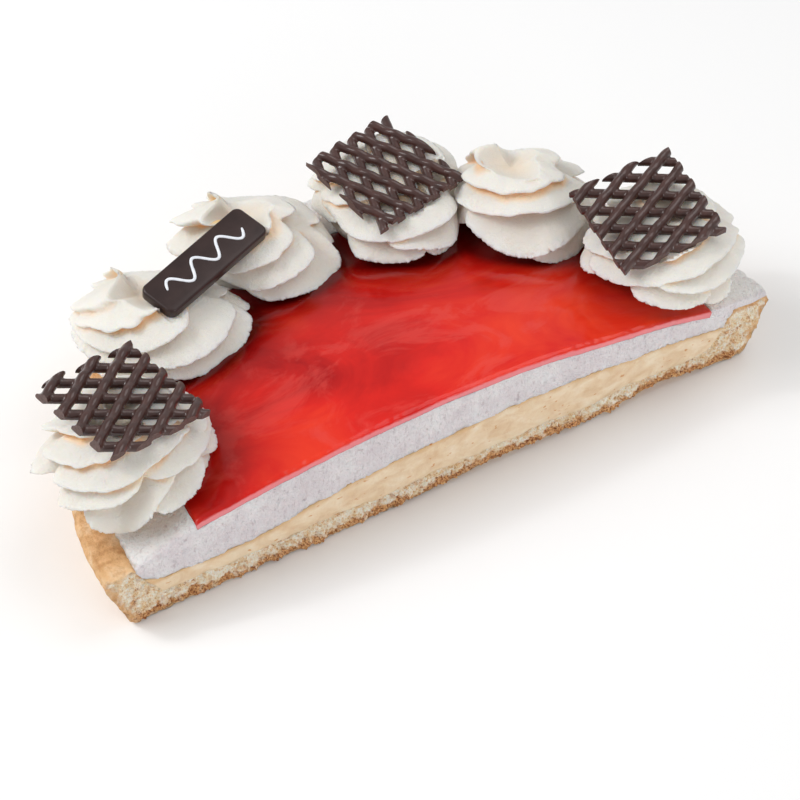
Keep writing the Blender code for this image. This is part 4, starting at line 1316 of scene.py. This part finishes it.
def add_strand(bm, start, end, base, sag, seed):
    """A piped strand with a flat foot and a round back, that sags between the strands under it."""
    along = (end - start).normalized()
    side = Vector((-along.y, along.x, 0.0))
    length = (end - start).length
    crossing = STRAND_PITCH / math.sin(math.radians(60))
    rings = []
    for i in range(STRAND_STEPS + 1):
        s = length * i / STRAND_STEPS
        width = 0.5 * STRAND_WIDTH * (1 + 0.10 * noise.noise(Vector((s / 0.006, seed, 1.0))))
        height = STRAND_HEIGHT * (1 + 0.10 * noise.noise(Vector((s / 0.005, seed, 5.0))))
        shift = 0.00025 * noise.noise(Vector((s / 0.010, seed, 9.0)))
        middle = start + along * s + side * shift
        drop = sag * 0.5 * (1 - math.cos(2 * math.pi * s / crossing))
        points = []
        for k in range(STRAND_SECTION):
            turn = math.pi * k / (STRAND_SECTION - 1)
            lift = base + max(0.0, math.sin(turn)) ** 0.8 * height - drop
            points.append(middle + side * (math.cos(turn) * width) + Vector((0, 0, lift)))
        rings.append(points)
    add_tube(bm, rings)


def fuse(bm, name, voxel):
    """Melts the shells of a bmesh into one skin."""
    mesh = bpy.data.meshes.new(name)
    bm.to_mesh(mesh)
    bm.free()
    made = bpy.data.objects.new(name, mesh)
    bpy.context.scene.collection.objects.link(made)
    melt = made.modifiers.new("melt", "REMESH")
    melt.mode = "VOXEL"
    melt.voxel_size = voxel
    relax = made.modifiers.new("relax", "SMOOTH")
    relax.factor = 0.5
    relax.iterations = 2
    bpy.context.view_layer.update()
    shape = bpy.data.meshes.new_from_object(made.evaluated_get(bpy.context.evaluated_depsgraph_get()))
    bpy.data.objects.remove(made)
    fused = bmesh.new()
    fused.from_mesh(shape)
    bpy.data.meshes.remove(shape)
    return fused


def trim_square(bm, half):
    """Cuts the melted strands to a square and closes the cuts with faces of their own look."""
    for normal in (Vector((1, 0, 0)), Vector((-1, 0, 0)), Vector((0, 1, 0)), Vector((0, -1, 0))):
        geometry = list(bm.verts) + list(bm.edges) + list(bm.faces)
        bmesh.ops.bisect_plane(bm, geom=geometry, plane_co=normal * half, plane_no=normal, clear_outer=True)
        border = [e for e in bm.edges if e.is_boundary]
        filled = bmesh.ops.holes_fill(bm, edges=border, sides=0)["faces"]
        for face in filled:
            face.material_index = 1
        bmesh.ops.triangulate(bm, faces=filled)


def drop_scraps(bm):
    """Keeps the largest connected body."""
    groups = []
    seen = set()
    for start in bm.verts:
        if start in seen:
            continue
        stack, group = [start], []
        seen.add(start)
        while stack:
            v = stack.pop()
            group.append(v)
            for e in v.link_edges:
                other = e.other_vert(v)
                if other not in seen:
                    seen.add(other)
                    stack.append(other)
        groups.append(group)
    groups.sort(key=len)
    bmesh.ops.delete(bm, geom=[v for group in groups[:-1] for v in group], context="VERTS")


def lattice(number, shape, place, looks):
    """Two layers of piped strands that cross, melted together and cut to a square."""
    bm = bmesh.new()
    for layer, (degrees, shift) in enumerate((shape.low, shape.top)):
        base = layer * (STRAND_HEIGHT - STRAND_OVERLAP) - STRAND_HEIGHT + 0.5 * STRAND_OVERLAP
        for count, (start, end) in enumerate(strand_lines(degrees, shift)):
            add_strand(bm, start, end, base, STRAND_SAG * layer, number * 17.0 + layer * 5.0 + count)
    bm = fuse(bm, f"lattice_{number}_strands", LATTICE_VOXEL)
    trim_square(bm, 0.5 * LATTICE_SIDE)
    drop_scraps(bm)
    bmesh.ops.transform(bm, matrix=place, verts=bm.verts)
    finish_mesh(bm, f"lattice_{number}_piped", looks, [f"lattice_{number}"], smooth_angle=50.0)


def plaque(place, look):
    """A moulded chocolate bar with rounded corners and a soft edge."""
    bm = bmesh.new()
    width, depth, height = PLAQUE_SIZE
    bmesh.ops.create_cube(bm, size=1.0, matrix=Matrix.Diagonal((width, depth, height, 1)))

    def bevel(edges, offset, segments):
        bmesh.ops.bevel(bm, geom=edges, offset=offset, segments=segments, profile=0.5, affect="EDGES")

    bevel([e for e in bm.edges if abs(e.verts[0].co.z - e.verts[1].co.z) > 0.5 * height], PLAQUE_CORNER, 10)
    bevel([e for e in bm.edges if min(v.co.z for v in e.verts) > 0.49 * height], PLAQUE_BROW, 5)
    bevel([e for e in bm.edges if max(v.co.z for v in e.verts) < -0.49 * height], PLAQUE_FOOT, 2)
    bmesh.ops.transform(bm, matrix=place, verts=bm.verts)
    finish_mesh(bm, "plaque_bar", [look], ["plaque"], smooth_angle=30.0)


def icing_line(place, look):
    """A plain wavy line piped along the plaque."""
    bm = bmesh.new()
    rings = []
    for i in range(WAVE_STEPS + 1):
        t = i / WAVE_STEPS
        phase = 2 * math.pi * WAVE_CYCLES * t
        slope = WAVE_REACH * math.cos(phase) * 2 * math.pi * WAVE_CYCLES / WAVE_LENGTH
        side = Vector((-slope, 1.0, 0.0)).normalized()
        end = math.sqrt(max(0.0, 1 - (2 * abs(t - 0.5)) ** 40))
        width = 0.5 * WAVE_WIDTH * (1 + 0.18 * noise.noise(Vector((t * 30, 3.0, 0.0)))) * max(0.15, end)
        height = (WAVE_HEIGHT + JOIN) * max(0.2, end)
        foot = 0.5 * PLAQUE_SIZE[2] - 2 * JOIN
        middle = Vector((WAVE_LENGTH * (t - 0.5), WAVE_REACH * math.sin(phase), foot))
        points = []
        for k in range(WAVE_SECTION):
            turn = 2 * math.pi * k / WAVE_SECTION
            points.append(middle + side * (math.cos(turn) * width) + Vector((0, 0, math.sin(turn) * height)))
        rings.append(points)
    add_tube(bm, rings)
    bmesh.ops.transform(bm, matrix=place, verts=bm.verts)
    finish_mesh(bm, "plaque_line", [look], [])


def floor():
    """A plain pale surface under the tart."""
    look, _ = new_look("backdrop", (0.92, 0.92, 0.92), roughness=0.9)
    mesh = bpy.data.meshes.new("floor")
    z = CAD_BOX[0][2] - FLOOR_GAP
    signs = ((-1, -1), (1, -1), (1, 1), (-1, 1))
    mesh.from_pydata([(x * FLOOR_HALF, y * FLOOR_HALF, z) for x, y in signs], [], [(0, 1, 2, 3)])
    mesh.materials.append(look)
    made = bpy.data.objects.new("floor", mesh)
    bpy.context.scene.collection.objects.link(made)


def area_light(name, location, size, power):
    light = bpy.data.lights.new(name, "AREA")
    light.shape = "RECTANGLE"
    light.size, light.size_y = size
    light.energy = power
    made = bpy.data.objects.new(name, light)
    made.location = location
    made.rotation_euler = (Vector(LIGHT_TARGET) - made.location).to_track_quat("-Z", "Y").to_euler()
    bpy.context.scene.collection.objects.link(made)


def lights():
    """A white surrounding, and area lights that point at the tart."""
    world = bpy.data.worlds.new("studio")
    world.use_nodes = True
    background = world.node_tree.nodes["Background"]
    background.inputs["Color"].default_value = (*WHITE, 1.0)
    background.inputs["Strength"].default_value = SKY_STRENGTH
    bpy.context.scene.world = world
    for name, location, size, power in LIGHTS:
        area_light(name, location, size, power)


def camera():
    """The photograph's view."""
    azimuth, elevation, roll = (math.radians(angle) for angle in CAMERA_ANGLES)
    target = Vector(CAMERA_TARGET) + TART
    back = Vector((
        math.sin(azimuth) * math.cos(elevation),
        -math.cos(azimuth) * math.cos(elevation),
        math.sin(elevation),
    ))
    right = Vector((0, 0, 1)).cross(back).normalized()
    up = back.cross(right)
    turned_right = math.cos(roll) * right + math.sin(roll) * up
    turned_up = -math.sin(roll) * right + math.cos(roll) * up
    lens = bpy.data.cameras.new("camera")
    lens.sensor_width = SENSOR_WIDTH
    lens.lens = FOCAL_LENGTH
    made = bpy.data.objects.new("camera", lens)
    bpy.context.scene.collection.objects.link(made)
    placement = Matrix((turned_right, turned_up, back)).transposed().to_4x4()
    placement.translation = target + back * CAMERA_DISTANCE
    made.matrix_world = placement
    bpy.context.scene.camera = made


def main():
    bpy.context.scene.view_settings.view_transform = "Standard"
    camera()
    lights()
    floor()
    crust(dough_look())
    custard(custard_look())
    bavarois(mousse_look())
    glaze(glaze_look())
    chocolate = chocolate_looks()
    plates = {}
    for number, shape in enumerate(LATTICES, 1):
        place = plate_matrix(shape.centre, shape.normal, shape.turn)
        lattice(number, shape, place, chocolate)
        size = (LATTICE_SIDE, LATTICE_SIDE)
        plates.setdefault(shape.rosette, []).append(pressing_plate(place, size, 0.0006 - STRAND_HEIGHT))
    place = plate_matrix(PLAQUE_CENTRE, PLAQUE_NORMAL, PLAQUE_TURN)
    plaque(place, plaque_look())
    icing_line(place, icing_look())
    for number in (2, 3):
        plates.setdefault(number, []).append(pressing_plate(place, PLAQUE_SIZE, -0.5 * PLAQUE_SIZE[2]))
    cream = cream_look()
    for index in range(len(ROSETTES)):
        rosette(index, cream, plates.get(index + 1, []))


main()
